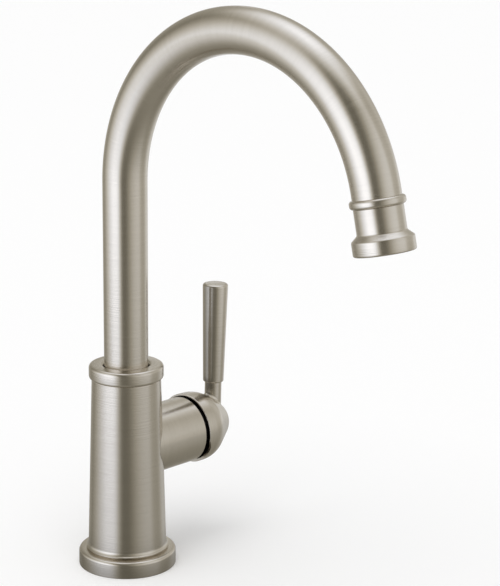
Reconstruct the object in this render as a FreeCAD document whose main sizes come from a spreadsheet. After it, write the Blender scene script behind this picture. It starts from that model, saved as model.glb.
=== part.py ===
import FreeCAD, Part
import Sketcher
import math
import os
from types import SimpleNamespace

# A kitchen faucet with one side lever and a high swivel spout, in millimetres.
# +Z is up and the origin is on the riser's axis at deck level. The spout points to -Y, towards
# the user, and the valve lies along +X at the user's right. Everything below Z = 0 is under the deck.

SIZES = [
    # fits
    ("turn_gap", 0.05, "radial room of a round piece that turns in another"),
    ("seat_gap", 0.1, "radial room of a piece that is pushed or screwed into another"),
    ("free_gap", 0.4, "radial room between pieces that must not rub"),
    # base and deck
    ("base_ledge", 4.8, "round foot past the lip of the column"),
    ("base_height", 10.8, "height of the round foot"),
    ("base_round", 2.4, "rounding of its upper edge"),
    ("gasket_wall", 1.5, "foot between its bore and the deck seal"),
    ("gasket_width", 4.5, "deck seal, width"),
    ("gasket_height", 2.0, "deck seal, height"),
    ("deck_thickness", 13.0, "deck that is clamped"),
    # column
    ("lip_step", 1.35, "lip at the foot of the column, past the column"),
    ("lip_bevel", 1.0, "bevel under that lip"),
    ("lip_height", 1.6, "height of that lip"),
    ("cove_height", 2.6, "hollow curve above the lip"),
    ("body_taper", 3.05, "column wider above its lip than at its top"),
    ("body_wall", 1.5, "wall of the column at its top"),
    ("body_height", 124.3, "top of the column above the deck"),
    ("body_round", 0.5, "rounding of the column's top edge"),
    ("shoulder_step", 2.9, "step inside the column below its neck"),
    ("spigot_wall", 1.6, "wall of the spigot that centres the foot"),
    ("spigot_depth", 6.0, "depth of that spigot"),
    ("neck_room", 3.6, "threaded neck of the column wider than the spout tube"),
    ("neck_depth", 17.3, "depth of that neck"),
    # mounting
    ("shank_radius", 16.5, "threaded shank"),
    ("shank_wall", 2.7, "wall of the shank round its bore for the supply hoses"),
    ("shank_length", 58.0, "shank below the deck's top"),
    ("shank_head_height", 10.3, "shank's head in the column"),
    ("shank_bevel", 1.0, "bevel at the shank's free end"),
    ("relief_width", 2.0, "relief groove of the thread"),
    ("relief_depth", 1.0, "depth of that groove"),
    ("relief_below_nut", 3.0, "thread between the nut and the groove"),
    ("nut_flats", 46.0, "mounting nut across flats"),
    ("nut_height", 10.0, "mounting nut"),
    ("washer_radius", 26.0, "steel washer"),
    ("washer_height", 2.0, "steel washer"),
    ("clamp_seal_radius", 25.0, "rubber washer"),
    ("clamp_seal_height", 3.0, "rubber washer"),
    # waterway
    ("foot_height", 4.0, "flange at the manifold's foot"),
    ("column_radius", 13.5, "manifold's column"),
    ("head_seat", 0.9, "manifold's head past the column's neck"),
    ("head_height", 9.0, "manifold's head"),
    ("inlet_radius", 4.6, "threaded inlet sockets"),
    ("inlet_depth", 12.0, "threaded inlet sockets"),
    ("inlet_spread", 7.0, "inlets either side of the axis"),
    ("riser_radius", 3.2, "passages up from the inlets"),
    ("outlet_radius", 6.0, "passage up to the spout"),
    ("boss_margin", 1.2, "boss that carries the valve chamber, past its screws"),
    # valve chamber and its ports
    ("valve_drop", 46.3, "valve's axis below the column's top"),
    ("chamber_floor", 20.0, "inside of the chamber's floor from the riser's axis"),
    ("chamber_floor_wall", 3.5, "thickness of that floor"),
    ("cartridge_room", 0.2, "room round the cartridge in the chamber"),
    ("mouth_wall", 1.4, "wall round the thread at the chamber's mouth"),
    ("mouth_step", 1.0, "thread at the chamber's mouth past its bore"),
    ("port_radius", 3.0, "ports"),
    ("port_spread", 6.0, "hot and cold ports either side"),
    ("port_drop", 3.5, "hot and cold ports below the axis"),
    ("port_rise", 6.2, "mixed port above the axis"),
    ("seal_radius", 4.4, "square-section seals round the ports"),
    ("seal_height", 1.3, "those seals"),
    ("screw_circle", 9.5, "circle of the chamber's screws"),
    ("screw_start_angle", 30.0, "first screw on that circle in degrees"),
    ("screw_radius", 1.5, "screw thread"),
    ("screw_head_radius", 2.75, "screw head"),
    ("screw_head_height", 1.8, "screw head"),
    ("screw_length", 8.0, "screw below its head"),
    ("screw_key", 1.25, "hexagon in the screw head, centre to corner"),
    # cartridge
    ("cartridge_radius", 17.4, "outside of the cartridge"),
    ("cartridge_base_height", 5.0, "its base"),
    ("disc_recess", 1.0, "seat of the fixed disc in the base"),
    ("fixed_disc_radius", 12.5, "fixed ceramic disc"),
    ("fixed_disc_height", 3.5, "fixed ceramic disc"),
    ("disc_port_radius", 2.6, "ports in the fixed disc"),
    ("disc_room", 0.7, "room beside the moving disc at the end of its slide"),
    ("moving_disc_height", 3.45, "moving ceramic disc"),
    ("mixing_wall", 2.5, "wall round the mixing hollow in the moving disc"),
    ("mixing_depth", 1.6, "mixing hollow in the moving disc"),
    ("carrier_height", 5.0, "carrier of the moving disc"),
    ("socket_depth", 4.6, "hole for the stem's ball in the carrier"),
    ("rib_inset", 0.5, "drive ribs of the carrier inside its edge"),
    ("rib_width", 2.0, "drive ribs of the carrier, thickness"),
    ("rib_half_width", 3.0, "drive ribs of the carrier, half width"),
    ("rib_height", 2.0, "drive ribs of the carrier"),
    ("tilt_angle", 25.0, "lift of the lever in degrees"),
    ("rotor_gap", 0.3, "room above and below the turning stem carrier"),
    ("rotor_side_room", 0.6, "room round the stem carrier's flange"),
    ("rotor_flange_height", 2.7, "flange of the stem carrier"),
    ("rotor_neck_radius", 10.2, "neck of the stem carrier"),
    ("rotor_neck_above_pivot", 3.0, "neck of the stem carrier past the pin"),
    ("case_wall", 2.2, "wall of the case"),
    ("case_front_wall", 1.9, "front wall of the case"),
    ("case_neck_wall", 2.3, "neck of the case round the stem carrier"),
    ("case_neck_height", 4.0, "neck of the case"),
    ("pivot_above_case", 2.6, "tilt axis past the neck of the case"),
    ("pin_radius", 1.5, "pin that the stem tilts on"),
    # stem
    ("stem_width", 7.8, "square of the stem"),
    ("stem_reach", 34.0, "stem past the tilt axis"),
    ("stem_root", 4.5, "square part behind the tilt axis"),
    ("ball_radius", 3.0, "ball that drives the disc"),
    ("ball_sink", 1.2, "ball below the carrier's top"),
    ("stem_neck_radius", 2.0, "round neck between square and ball"),
    # nut, sleeve and cap
    ("ring_nut_thread", 7.0, "thread of the retaining nut"),
    ("ring_nut_flange", 1.5, "flange of the retaining nut"),
    ("ring_nut_notch", 4.0, "spanner notches of the retaining nut"),
    ("sleeve_wall", 1.45, "side sleeve"),
    ("sleeve_ledge", 1.0, "ledge in the sleeve under the nut's flange"),
    ("sleeve_lip", 0.2, "sleeve past the nut's flange"),
    ("sleeve_round", 0.5, "rounding of the sleeve's end"),
    ("cap_inset", 0.2, "ball-shaped cap inside the retaining nut's flange"),
    ("cap_wall", 1.2, "cap"),
    ("cap_opening", 14.2, "opening of the cap for the stem"),
    # handle
    ("handle_gap", 2.0, "gap between sleeve and handle"),
    ("dome_wall", 0.7, "handle's rim round its hollow"),
    ("dome_band", 5.9, "straight band behind the rim"),
    ("dome_shoulder", 18.0, "radius of the handle's shoulder"),
    ("dome_cone_angle", 33.0, "slope of the handle's cone in degrees"),
    ("dome_tip", 15.0, "radius of the handle's nose"),
    ("cavity_gap", 0.63, "hollow of the handle past the sleeve's edge"),
    ("rim_round", 0.5, "rounding of the handle's rim"),
    ("rim_relief", 2.1, "rim set back below the axis, for the lift of the lever"),
    ("rim_relief_start", 3.6, "start of that relief below the axis"),
    ("rim_relief_sweep", 15.5, "radius of its sweep"),
    ("lever_offset", 9.05, "lever's axis past the start of the handle's cone"),
    ("lever_lean", 1.5, "outward lean of the lever in degrees"),
    ("neck_radius", 5.55, "neck of the lever"),
    ("neck_length", 27.0, "neck from the valve's axis"),
    ("neck_fillet", 2.0, "fillet between neck and handle"),
    ("stud_radius", 3.8, "stud that the grip screws onto"),
    ("stud_length", 13.0, "that stud"),
    ("grip_foot_radius", 6.8, "grip at its foot"),
    ("grip_top_radius", 8.4, "grip at its top"),
    ("grip_length", 66.7, "grip"),
    ("grip_foot_round", 1.2, "rounding at the grip's foot"),
    ("grip_top_round", 1.8, "rounding at the grip's top"),
    ("set_screw_shift", 0.9, "set screw behind the lever's axis"),
    ("set_screw_radius", 2.5, "set screw"),
    ("set_screw_length", 8.0, "set screw"),
    ("set_screw_key", 1.45, "hexagon in the set screw, centre to corner"),
    ("set_screw_key_depth", 3.0, "hexagon in the set screw"),
    # spout
    ("tube_radius", 14.0, "spout tube"),
    ("tube_wall", 1.2, "spout tube"),
    ("riser_length", 126.4, "straight riser above the column's top"),
    ("bend_radius", 102.3, "arc of the spout on its centre line"),
    ("bend_angle", 167.2, "turn of that arc in degrees"),
    ("tube_tail", 2.3, "straight end past the arc"),
    ("slip_height", 1.0, "plastic slip rings"),
    ("spout_flange_height", 3.0, "flange at the spout's foot"),
    ("plug_height", 10.0, "plug brazed into the tube"),
    ("spigot_radius", 10.0, "spigot that turns in the manifold"),
    ("spigot_length", 13.0, "that spigot below the manifold's top"),
    ("spigot_core_wall", 1.5, "spout's foot between its water bore and the grooves"),
    ("oring_thickness", 1.88, "swivel seals"),
    ("groove_room", 0.02, "room under the swivel seals"),
    ("groove_side_room", 0.52, "room beside the swivel seals"),
    ("groove_first", 3.0, "upper groove below the manifold's top"),
    ("groove_pitch", 5.0, "distance between the grooves"),
    # collar
    ("collar_ledge", 1.75, "ring nut past the top of the column"),
    ("collar_height", 9.2, "that ring nut"),
    ("collar_bore_gap", 0.6, "room between collar and tube"),
    ("collar_top_round", 2.2, "upper edge"),
    ("collar_foot_round", 2.0, "lower edge"),
    ("collar_mouth", 1.2, "bevel round the tube"),
    # outlet
    ("bead_proud", 1.9, "ring above the outlet, past the tube"),
    ("bead_height", 5.2, "that ring"),
    ("bead_round", 2.0, "its rounding"),
    ("barrel_step", 0.1, "outlet's barrel past the tube"),
    ("barrel_length", 14.3, "outlet's barrel"),
    ("flare_length", 3.3, "cone below the barrel"),
    ("ring_step", 3.7, "end ring past the barrel"),
    ("ring_length", 8.3, "end ring"),
    ("ring_top_round", 1.4, "its upper edge"),
    ("ring_end_round", 1.2, "its lower edge"),
    ("insert_length", 3.5, "outlet's spigot in the tube"),
    ("ledge_width", 2.5, "ledge for the aerator's gasket"),
    ("barrel_wall", 1.6, "outlet's barrel round the aerator's thread"),
    ("aerator_length", 12.2, "aerator housing"),
    ("aerator_wall", 1.6, "aerator housing"),
    ("aerator_rim", 1.2, "rim at the aerator's mouth"),
    ("aerator_recess", 0.5, "aerator behind the outlet's end"),
    ("aerator_gasket_height", 1.5, "aerator gasket"),
    ("regulator_height", 3.0, "flow regulator"),
    ("regulator_hole", 1.3, "its holes"),
    ("regulator_circle", 6.0, "circle of its holes"),
    ("screen_height", 1.2, "outlet screen"),
    ("screen_pitch", 2.6, "distance between the screen's holes"),
    ("screen_hole", 1.0, "radius of the screen's holes"),
]

CHAMBER_SCREWS = 3
REGULATOR_HOLES = 8
SCREEN_RINGS = 3
NUT_NOTCHES = 4

doc = FreeCAD.newDocument("faucet")
sheet = doc.addObject("Spreadsheet::Sheet", "Sizes")
for row, (alias, number, note) in enumerate(SIZES, start=1):
    sheet.set(f"A{row}", alias)
    sheet.set(f"B{row}", str(number))
    sheet.setAlias(f"B{row}", alias)
    sheet.set(f"C{row}", note)
doc.recompute()


class Size:
    """A size that knows its number and the sheet expression that gives it."""

    def __init__(self, number, text):
        self.number = number
        self.text = text

    def __add__(self, other):
        other = as_size(other)
        return Size(self.number + other.number, f"({self.text} + {other.text})")

    def __sub__(self, other):
        other = as_size(other)
        return Size(self.number - other.number, f"({self.text} - {other.text})")

    def __mul__(self, other):
        other = as_size(other)
        return Size(self.number * other.number, f"({self.text} * {other.text})")

    def __truediv__(self, other):
        other = as_size(other)
        return Size(self.number / other.number, f"({self.text} / {other.text})")

    def __neg__(self):
        return as_size(0) - self


def as_size(value):
    return value if isinstance(value, Size) else Size(float(value), f"({value})")


def sine(angle):
    return Size(math.sin(math.radians(angle.number)), f"sin({angle.text})")


def cosine(angle):
    return Size(math.cos(math.radians(angle.number)), f"cos({angle.text})")


def tangent(angle):
    return Size(math.tan(math.radians(angle.number)), f"tan({angle.text})")


def root(value):
    return Size(math.sqrt(value.number), f"sqrt({value.text})")


s = SimpleNamespace(**{alias: Size(number, f"Sizes.{alias}") for alias, number, note in SIZES})
pieces = []
ZERO = 1e-9
EDGE_MATCH = 1e-4
NECK_MATCH = 1e-3


def place(item, x=0, y=0, z=0):
    """Put an object at a point that follows the sheet."""
    for axis, value in zip("xyz", (x, y, z)):
        item.setExpression(f"Placement.Base.{axis}", as_size(value).text)


def keep(item, label):
    """Name an object as a finished piece of the faucet."""
    item.Label = label
    pieces.append(item)


def new_body(label, x=0, y=0, z=0):
    body = doc.addObject("PartDesign::Body", label)
    place(body, x, y, z)
    keep(body, label)
    return body


def sketch_on(body, role, offset=0):
    """A sketch on one of the body's own planes, moved along that plane's normal."""
    sketch = body.newObject("Sketcher::SketchObject", f"{body.Name}_sketch")
    plane = next(item for item in body.Origin.OriginFeatures if item.Role == role)
    sketch.AttachmentSupport = [(plane, "")]
    sketch.MapMode = "FlatFace"
    sketch.setExpression("AttachmentOffset.Base.z", as_size(offset).text)
    return sketch


def tie(sketch, kind, first, value):
    """Constrain a sketch to a size of the sheet."""
    index = sketch.addConstraint(Sketcher.Constraint(kind, *first, value.number))
    sketch.setExpression(f"Constraints[{index}]", value.text)


def tie_point(sketch, geometry, corner, x, y):
    """Fix a point by its distances from the sketch's origin."""
    for kind, value, axis in (("DistanceX", x, -2), ("DistanceY", y, -1)):
        if abs(value.number) < ZERO:
            sketch.addConstraint(Sketcher.Constraint("PointOnObject", geometry, corner, axis))
        else:
            tie(sketch, kind, (-1, 1, geometry, corner), value)


def arc_between(start, end, radius, turn):
    """The short arc from start to end that bends left (turn 1) or right (turn -1)."""
    chord = end - start
    rise = math.sqrt(radius * radius - chord.Length * chord.Length / 4)
    side = FreeCAD.Vector(-chord.y, chord.x, 0) / chord.Length
    centre = (start + end) / 2 + side * rise * turn
    first, last = (start, end) if turn > 0 else (end, start)
    circle = Part.Circle(centre, FreeCAD.Vector(0, 0, 1), radius)
    return Part.ArcOfCircle(circle, circle.parameter(first), circle.parameter(last))


def draw(sketch, path, closed=True):
    """Lines and arcs through corners: (x, y) ends a line, (x, y, radius, turn) ends an arc."""
    corners = [(as_size(step[0]), as_size(step[1])) for step in path]
    points = [FreeCAD.Vector(x.number, y.number, 0) for x, y in corners]
    runs = []
    for index in range(0 if closed else 1, len(path)):
        start, end = points[index - 1], points[index]
        if len(path[index]) == 2:
            geometry = sketch.addGeometry(Part.LineSegment(start, end), False)
            runs.append((geometry, 1, 2))
        else:
            radius, turn = path[index][2:]
            geometry = sketch.addGeometry(arc_between(start, end, radius.number, turn), False)
            tie(sketch, "Radius", (geometry,), radius)
            runs.append((geometry, 1, 2) if turn > 0 else (geometry, 2, 1))
    for index, (geometry, first, last) in enumerate(runs):
        if closed or index > 0:
            before, before_first, before_last = runs[index - 1]
            sketch.addConstraint(Sketcher.Constraint("Coincident", before, before_last, geometry, first))
    if not closed:
        tie_point(sketch, runs[0][0], runs[0][1], *corners[0])
    ends = corners if closed else corners[1:]
    for (geometry, first, last), (x, y) in zip(runs, ends):
        tie_point(sketch, geometry, last, x, y)


def volume(body):
    return 0 if body.Shape.isNull() else body.Shape.Volume


def check_cut(body, before):
    """A cut that removes nothing is an error in the model."""
    if volume(body) >= before:
        raise ValueError(f"a cut in {body.Label} removes nothing")


def turn_profile(body, axis, path, cut=False):
    """Turn a closed profile about X, as (x, radius), or about Z, as (radius, z)."""
    before = volume(body)
    sketch = sketch_on(body, "XZ_Plane")
    draw(sketch, path)
    kind = "Groove" if cut else "Revolution"
    feature = body.newObject(f"PartDesign::{kind}", f"{body.Name}_{kind}")
    feature.Profile = sketch
    feature.ReferenceAxis = (sketch, ["V_Axis" if axis == "Z" else "H_Axis"])
    feature.Angle = 360
    doc.recompute()
    if cut:
        check_cut(body, before)


def extrude(body, kind, sketch, length, along):
    """Pad or pocket a sketch along its normal (along 1) or against it (along -1)."""
    before = volume(body)
    feature = body.newObject(f"PartDesign::{kind}", f"{body.Name}_{kind}")
    feature.Profile = sketch
    feature.setExpression("Length", as_size(length).text)
    feature.Reversed = (along < 0) if kind == "Pad" else (along > 0)
    doc.recompute()
    if kind == "Pocket":
        check_cut(body, before)


def drill(body, role, offset, circles, length, along):
    """Cut round holes, each given as (x, y, radius) in the plane."""
    sketch = sketch_on(body, role, offset)
    draw_circles(sketch, circles)
    extrude(body, "Pocket", sketch, length, along)


def draw_circles(sketch, circles):
    for x, y, radius in circles:
        x, y = as_size(x), as_size(y)
        centre = FreeCAD.Vector(x.number, y.number, 0)
        circle = Part.Circle(centre, FreeCAD.Vector(0, 0, 1), radius.number)
        geometry = sketch.addGeometry(circle, False)
        tie(sketch, "Radius", (geometry,), radius)
        tie_point(sketch, geometry, 3, x, y)


def rectangle(left, right, low, high):
    return [(left, low), (right, low), (right, high), (left, high)]


def hexagon(corner):
    """Corners of a hexagon that points along X."""
    half = corner / 2
    flat = corner * root(as_size(3)) / 2
    return [(corner, 0), (half, flat), (-half, flat), (-corner, 0), (-half, -flat), (half, -flat)]


def mill(body, role, offset, path, length, along):
    """Cut a straight-sided recess."""
    sketch = sketch_on(body, role, offset)
    draw(sketch, path)
    extrude(body, "Pocket", sketch, length, along)


def round_rims(body, axis, rims):
    """Round circular edges, each given as (place along the axis, radius, rounding)."""
    for along, radius, rounding in rims:
        along = as_size(along)
        names = []
        for index, edge in enumerate(body.Tip.Shape.Edges, start=1):
            if edge.Degenerated or not isinstance(edge.Curve, Part.Circle):
                continue
            curve = edge.Curve
            if abs(curve.Radius - radius.number) > EDGE_MATCH:
                continue
            centre = curve.Center.z if axis == "Z" else curve.Center.x
            if abs(centre - along.number) < EDGE_MATCH:
                names.append(f"Edge{index}")
        round_edges(body, names, rounding)


def round_edges(body, names, rounding):
    if not names:
        raise ValueError(f"no edge to round on {body.Label}")
    base = body.Tip
    feature = body.newObject("PartDesign::Fillet", f"{body.Name}_Fillet")
    feature.Base = (base, names)
    feature.setExpression("Radius", rounding.text)
    doc.recompute()


def ring_piece(label, inner, outer, low, high, x=0, y=0, z=0):
    """A plain ring about Z."""
    body = new_body(label, x, y, z)
    turn_profile(body, "Z", rectangle(inner, outer, low, high))
    return body


def group(label, members):
    """Identical small pieces that share one name."""
    compound = doc.addObject("Part::Compound", label)
    compound.Links = members
    keep(compound, label)


# Radii from the tube outwards: the column's neck, its bore, its outside, the lip and the foot.
neck_bore_radius = s.tube_radius + s.neck_room
shell_bore_radius = neck_bore_radius + s.shoulder_step
body_top_radius = shell_bore_radius + s.body_wall
body_foot_radius = body_top_radius + s.body_taper
lip_radius = body_foot_radius + s.lip_step
base_radius = lip_radius + s.base_ledge
spigot_outer = shell_bore_radius + s.spigot_wall
foot_bore = spigot_outer + s.seat_gap
collar_radius = body_top_radius + s.collar_ledge

# Heights along the column, each worked out from what it rests on.
valve_height = s.body_height - s.valve_drop
shoulder_height = s.body_height - s.neck_depth
bend_start = s.body_height + s.riser_length
head_low = s.base_height - s.spigot_depth
shank_head_top = head_low + s.shank_head_height
clamp_low = -(s.deck_thickness + s.clamp_seal_height)
washer_low = clamp_low - s.washer_height
nut_low = washer_low - s.nut_height
relief_top = nut_low - s.relief_below_nut
relief_low = relief_top - s.relief_width
manifold_low = shank_head_top
manifold_top = shoulder_height
flange_low = manifold_top + s.slip_height
flange_top = flange_low + s.spout_flange_height
skirt_low = flange_top + s.slip_height

# Places along the valve, from the chamber's floor outwards.
chamber_start = s.chamber_floor - s.chamber_floor_wall
base_top = s.chamber_floor + s.cartridge_base_height
disc_seat = base_top - s.disc_recess
fixed_top = disc_seat + s.fixed_disc_height
moving_low = fixed_top + s.turn_gap
moving_top = moving_low + s.moving_disc_height
carrier_top = moving_top + s.carrier_height
rotor_low = carrier_top + s.rotor_gap
rotor_step = rotor_low + s.rotor_flange_height
case_inside = rotor_step + s.rotor_gap
case_shoulder = case_inside + s.case_front_wall
case_top = case_shoulder + s.case_neck_height
pivot = case_top + s.pivot_above_case
rotor_top = pivot + s.rotor_neck_above_pivot
ball_place = carrier_top - s.ball_sink
disc_travel = (pivot - ball_place) * sine(s.tilt_angle)
chamber_end = case_shoulder + s.ring_nut_thread
nut_flange_low = chamber_end + s.sleeve_ledge
nut_flange_top = nut_flange_low + s.ring_nut_flange
sleeve_end = nut_flange_top + s.sleeve_lip
rim = sleeve_end + s.handle_gap

# Radii of the valve, from the cartridge outwards and inwards.
chamber_bore_radius = s.cartridge_radius + s.cartridge_room
chamber_thread_radius = chamber_bore_radius + s.mouth_step
chamber_radius = chamber_thread_radius + s.mouth_wall
ring_nut_flange_radius = chamber_radius - s.free_gap
sleeve_bore = chamber_radius + s.seat_gap
sleeve_outer = sleeve_bore + s.sleeve_wall
case_bore_radius = s.cartridge_radius - s.case_wall
case_neck_radius = s.rotor_neck_radius + s.case_neck_wall
moving_disc_radius = case_bore_radius - disc_travel - s.disc_room

PORTS = [
    (s.port_spread, -s.port_drop),
    (-s.port_spread, -s.port_drop),
    (as_size(0), s.port_rise),
]
SCREW_TURNS = [s.screw_start_angle + 360 * index / CHAMBER_SCREWS for index in range(CHAMBER_SCREWS)]
SCREWS = [(s.screw_circle * cosine(turn), s.screw_circle * sine(turn)) for turn in SCREW_TURNS]

# Round foot on the deck, with a groove below for the deck seal.
gasket_inner_radius = foot_bore + s.gasket_wall
gasket_outer_radius = gasket_inner_radius + s.gasket_width
groove_inner = gasket_inner_radius - s.seat_gap
groove_outer = gasket_outer_radius + s.seat_gap
foot = new_body("base_flange")
turn_profile(foot, "Z", [
    (foot_bore, 0),
    (groove_inner, 0),
    (groove_inner, s.gasket_height),
    (groove_outer, s.gasket_height),
    (groove_outer, 0),
    (base_radius, 0),
    (base_radius, s.base_height),
    (foot_bore, s.base_height),
])
round_rims(foot, "Z", [(s.base_height, base_radius, s.base_round)])
ring_piece("base_gasket", gasket_inner_radius, gasket_outer_radius, 0, s.gasket_height)

# Tapered column: a spigot in the foot, a lip with a hollow curve above it, a taper and a threaded neck.
lip_top = s.base_height + s.lip_height
taper_low = lip_top + s.cove_height
cove_depth = lip_radius - body_foot_radius
cove_radius = (cove_depth * cove_depth + s.cove_height * s.cove_height) / (cove_depth * 2)
shell = new_body("body_shell")
turn_profile(shell, "Z", [
    (shell_bore_radius, head_low),
    (spigot_outer, head_low),
    (spigot_outer, s.base_height),
    (lip_radius - s.lip_bevel, s.base_height),
    (lip_radius, s.base_height + s.lip_bevel),
    (lip_radius, lip_top),
    (body_foot_radius, taper_low, cove_radius, -1),
    (body_top_radius, s.body_height),
    (neck_bore_radius, s.body_height),
    (neck_bore_radius, shoulder_height),
    (shell_bore_radius, shoulder_height),
])
round_rims(shell, "Z", [(s.body_height, body_top_radius, s.body_round)])
shell_hole = chamber_radius + s.seat_gap * 2
drill(shell, "YZ_Plane", 0, [(0, valve_height, shell_hole)], lip_radius * 2, 1)

# Hollow threaded shank: its head screws into the column, its thread goes through the deck.
shank = new_body("mounting_shank")
shank_head = shell_bore_radius - s.seat_gap
shank_bore_radius = s.shank_radius - s.shank_wall
relief_radius = s.shank_radius - s.relief_depth
turn_profile(shank, "Z", [
    (shank_bore_radius, -s.shank_length),
    (s.shank_radius - s.shank_bevel, -s.shank_length),
    (s.shank_radius, s.shank_bevel - s.shank_length),
    (s.shank_radius, relief_low),
    (relief_radius, relief_low),
    (relief_radius, relief_top),
    (s.shank_radius, relief_top),
    (s.shank_radius, head_low),
    (shank_head, head_low),
    (shank_head, shank_head_top),
    (shank_bore_radius, shank_head_top),
])

# Clamp below the deck: rubber washer, steel washer and hexagon nut.
thread_bore = s.shank_radius + s.seat_gap
ring_piece("mounting_gasket", thread_bore, s.clamp_seal_radius, clamp_low, -s.deck_thickness)
ring_piece("mounting_washer", thread_bore, s.washer_radius, washer_low, clamp_low)
nut = new_body("mounting_nut", z=nut_low)
nut_corner = s.nut_flats / root(as_size(3))
nut_sketch = sketch_on(nut, "XY_Plane")
draw(nut_sketch, hexagon(nut_corner))
draw_circles(nut_sketch, [(0, 0, thread_bore)])
extrude(nut, "Pad", nut_sketch, s.nut_height, 1)

# Brass manifold: two inlets below, a boss for the valve at the side, a socket for the spout on top.
foot_top = manifold_low + s.foot_height
head_start = manifold_top - s.head_height
socket_radius = s.spigot_radius + s.turn_gap
socket_low = manifold_top - s.spigot_length - s.free_gap
head_radius = neck_bore_radius + s.head_seat
boss_radius = s.screw_circle + s.screw_radius + s.boss_margin
mixed_height = valve_height + s.port_rise
supply_height = valve_height - s.port_drop
manifold_foot = shell_bore_radius - s.seat_gap * 3
manifold = new_body("waterway")
turn_profile(manifold, "Z", [
    (0, manifold_low),
    (manifold_foot, manifold_low),
    (manifold_foot, foot_top),
    (s.column_radius, foot_top),
    (s.column_radius, head_start),
    (head_radius, head_start),
    (head_radius, manifold_top),
    (0, manifold_top),
])
boss_sketch = sketch_on(manifold, "YZ_Plane")
draw_circles(boss_sketch, [(0, valve_height, boss_radius)])
extrude(manifold, "Pad", boss_sketch, chamber_start, 1)
INLETS = [-s.inlet_spread, s.inlet_spread]
port_overrun = s.port_radius / 2
riser_top = supply_height + s.port_radius + port_overrun
outlet_low = mixed_height - port_overrun
drill(manifold, "XY_Plane", socket_low, [(0, 0, socket_radius)], manifold_top - socket_low, 1)
drill(manifold, "XY_Plane", manifold_low, [(0, y, s.inlet_radius) for y in INLETS], s.inlet_depth, 1)
drill(manifold, "XY_Plane", manifold_low, [(0, y, s.riser_radius) for y in INLETS],
      riser_top - manifold_low, 1)
drill(manifold, "XY_Plane", outlet_low, [(0, 0, s.outlet_radius)], socket_low - outlet_low, 1)
drill(manifold, "YZ_Plane", 0, [(y, valve_height + z, s.port_radius) for y, z in PORTS],
      chamber_start, 1)
drill(manifold, "YZ_Plane", chamber_start,
      [(y, valve_height + z, s.seal_radius + s.seat_gap) for y, z in PORTS], s.seal_height, -1)
screw_seat = s.chamber_floor - s.screw_head_height
screw_tip = screw_seat - s.screw_length
drill(manifold, "YZ_Plane", chamber_start,
      [(y, valve_height + z, s.screw_radius + s.turn_gap) for y, z in SCREWS],
      chamber_start - screw_tip + s.seat_gap, -1)

# Cup for the cartridge, screwed to the manifold's boss through the side of the column.
chamber = new_body("valve_chamber", z=valve_height)
thread_start = case_shoulder - s.rotor_gap
turn_profile(chamber, "X", [
    (chamber_start, 0),
    (s.chamber_floor, 0),
    (s.chamber_floor, chamber_bore_radius),
    (thread_start, chamber_bore_radius),
    (thread_start, chamber_thread_radius),
    (chamber_end, chamber_thread_radius),
    (chamber_end, chamber_radius),
    (chamber_start, chamber_radius),
])
drill(chamber, "YZ_Plane", s.chamber_floor, [(y, z, s.port_radius) for y, z in PORTS],
      s.chamber_floor_wall, -1)
drill(chamber, "YZ_Plane", s.chamber_floor,
      [(y, z, s.screw_radius + s.seat_gap) for y, z in SCREWS], s.chamber_floor_wall, -1)
drill(chamber, "YZ_Plane", s.chamber_floor,
      [(y, z, s.screw_head_radius + s.seat_gap) for y, z in SCREWS], s.screw_head_height, -1)


def lay_along_x(item, x, y, z):
    """Turn an object's own Z to +X and put it at a point."""
    item.Placement.Rotation = FreeCAD.Rotation(FreeCAD.Vector(0, 1, 0), 90)
    place(item, x, y, z)


def screw(number, y, z):
    """Socket-head screw that points to -X, with its head flush with the chamber's floor."""
    head = doc.addObject("Part::Cylinder", f"screw_head_{number}")
    head.setExpression("Radius", s.screw_head_radius.text)
    head.setExpression("Height", s.screw_head_height.text)
    lay_along_x(head, screw_seat, y, valve_height + z)
    thread = doc.addObject("Part::Cylinder", f"screw_thread_{number}")
    thread.setExpression("Radius", s.screw_radius.text)
    thread.setExpression("Height", s.screw_length.text)
    lay_along_x(thread, screw_tip, y, valve_height + z)
    key = doc.addObject("Part::Prism", f"screw_key_{number}")
    key.Polygon = 6
    key.setExpression("Circumradius", s.screw_key.text)
    key.setExpression("Height", s.screw_head_height.text)
    key_depth = s.screw_head_height / 2
    lay_along_x(key, screw_seat + key_depth, y, valve_height + z)
    whole = doc.addObject("Part::Fuse", f"screw_blank_{number}")
    whole.Base = head
    whole.Tool = thread
    cut = doc.addObject("Part::Cut", f"screw_{number}")
    cut.Base = whole
    cut.Tool = key
    return cut


def seal(number, x, y, z):
    """Square-section seal round a port, with its lower face at x."""
    outer = doc.addObject("Part::Cylinder", f"seal_outer_{number}")
    outer.setExpression("Radius", s.seal_radius.text)
    outer.setExpression("Height", s.seal_height.text)
    lay_along_x(outer, x, y, valve_height + z)
    inner = doc.addObject("Part::Cylinder", f"seal_inner_{number}")
    inner.setExpression("Radius", s.port_radius.text)
    inner.setExpression("Height", s.seal_height.text)
    lay_along_x(inner, x, y, valve_height + z)
    cut = doc.addObject("Part::Cut", f"seal_{number}")
    cut.Base = outer
    cut.Tool = inner
    return cut


group("chamber_screws", [screw(index, y, z) for index, (y, z) in enumerate(SCREWS)])
group("port_seals", [seal(f"low_{index}", chamber_start - s.seal_height, y, z)
                     for index, (y, z) in enumerate(PORTS)])
group("cartridge_seals", [seal(f"high_{index}", s.chamber_floor, y, z)
                          for index, (y, z) in enumerate(PORTS)])

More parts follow.
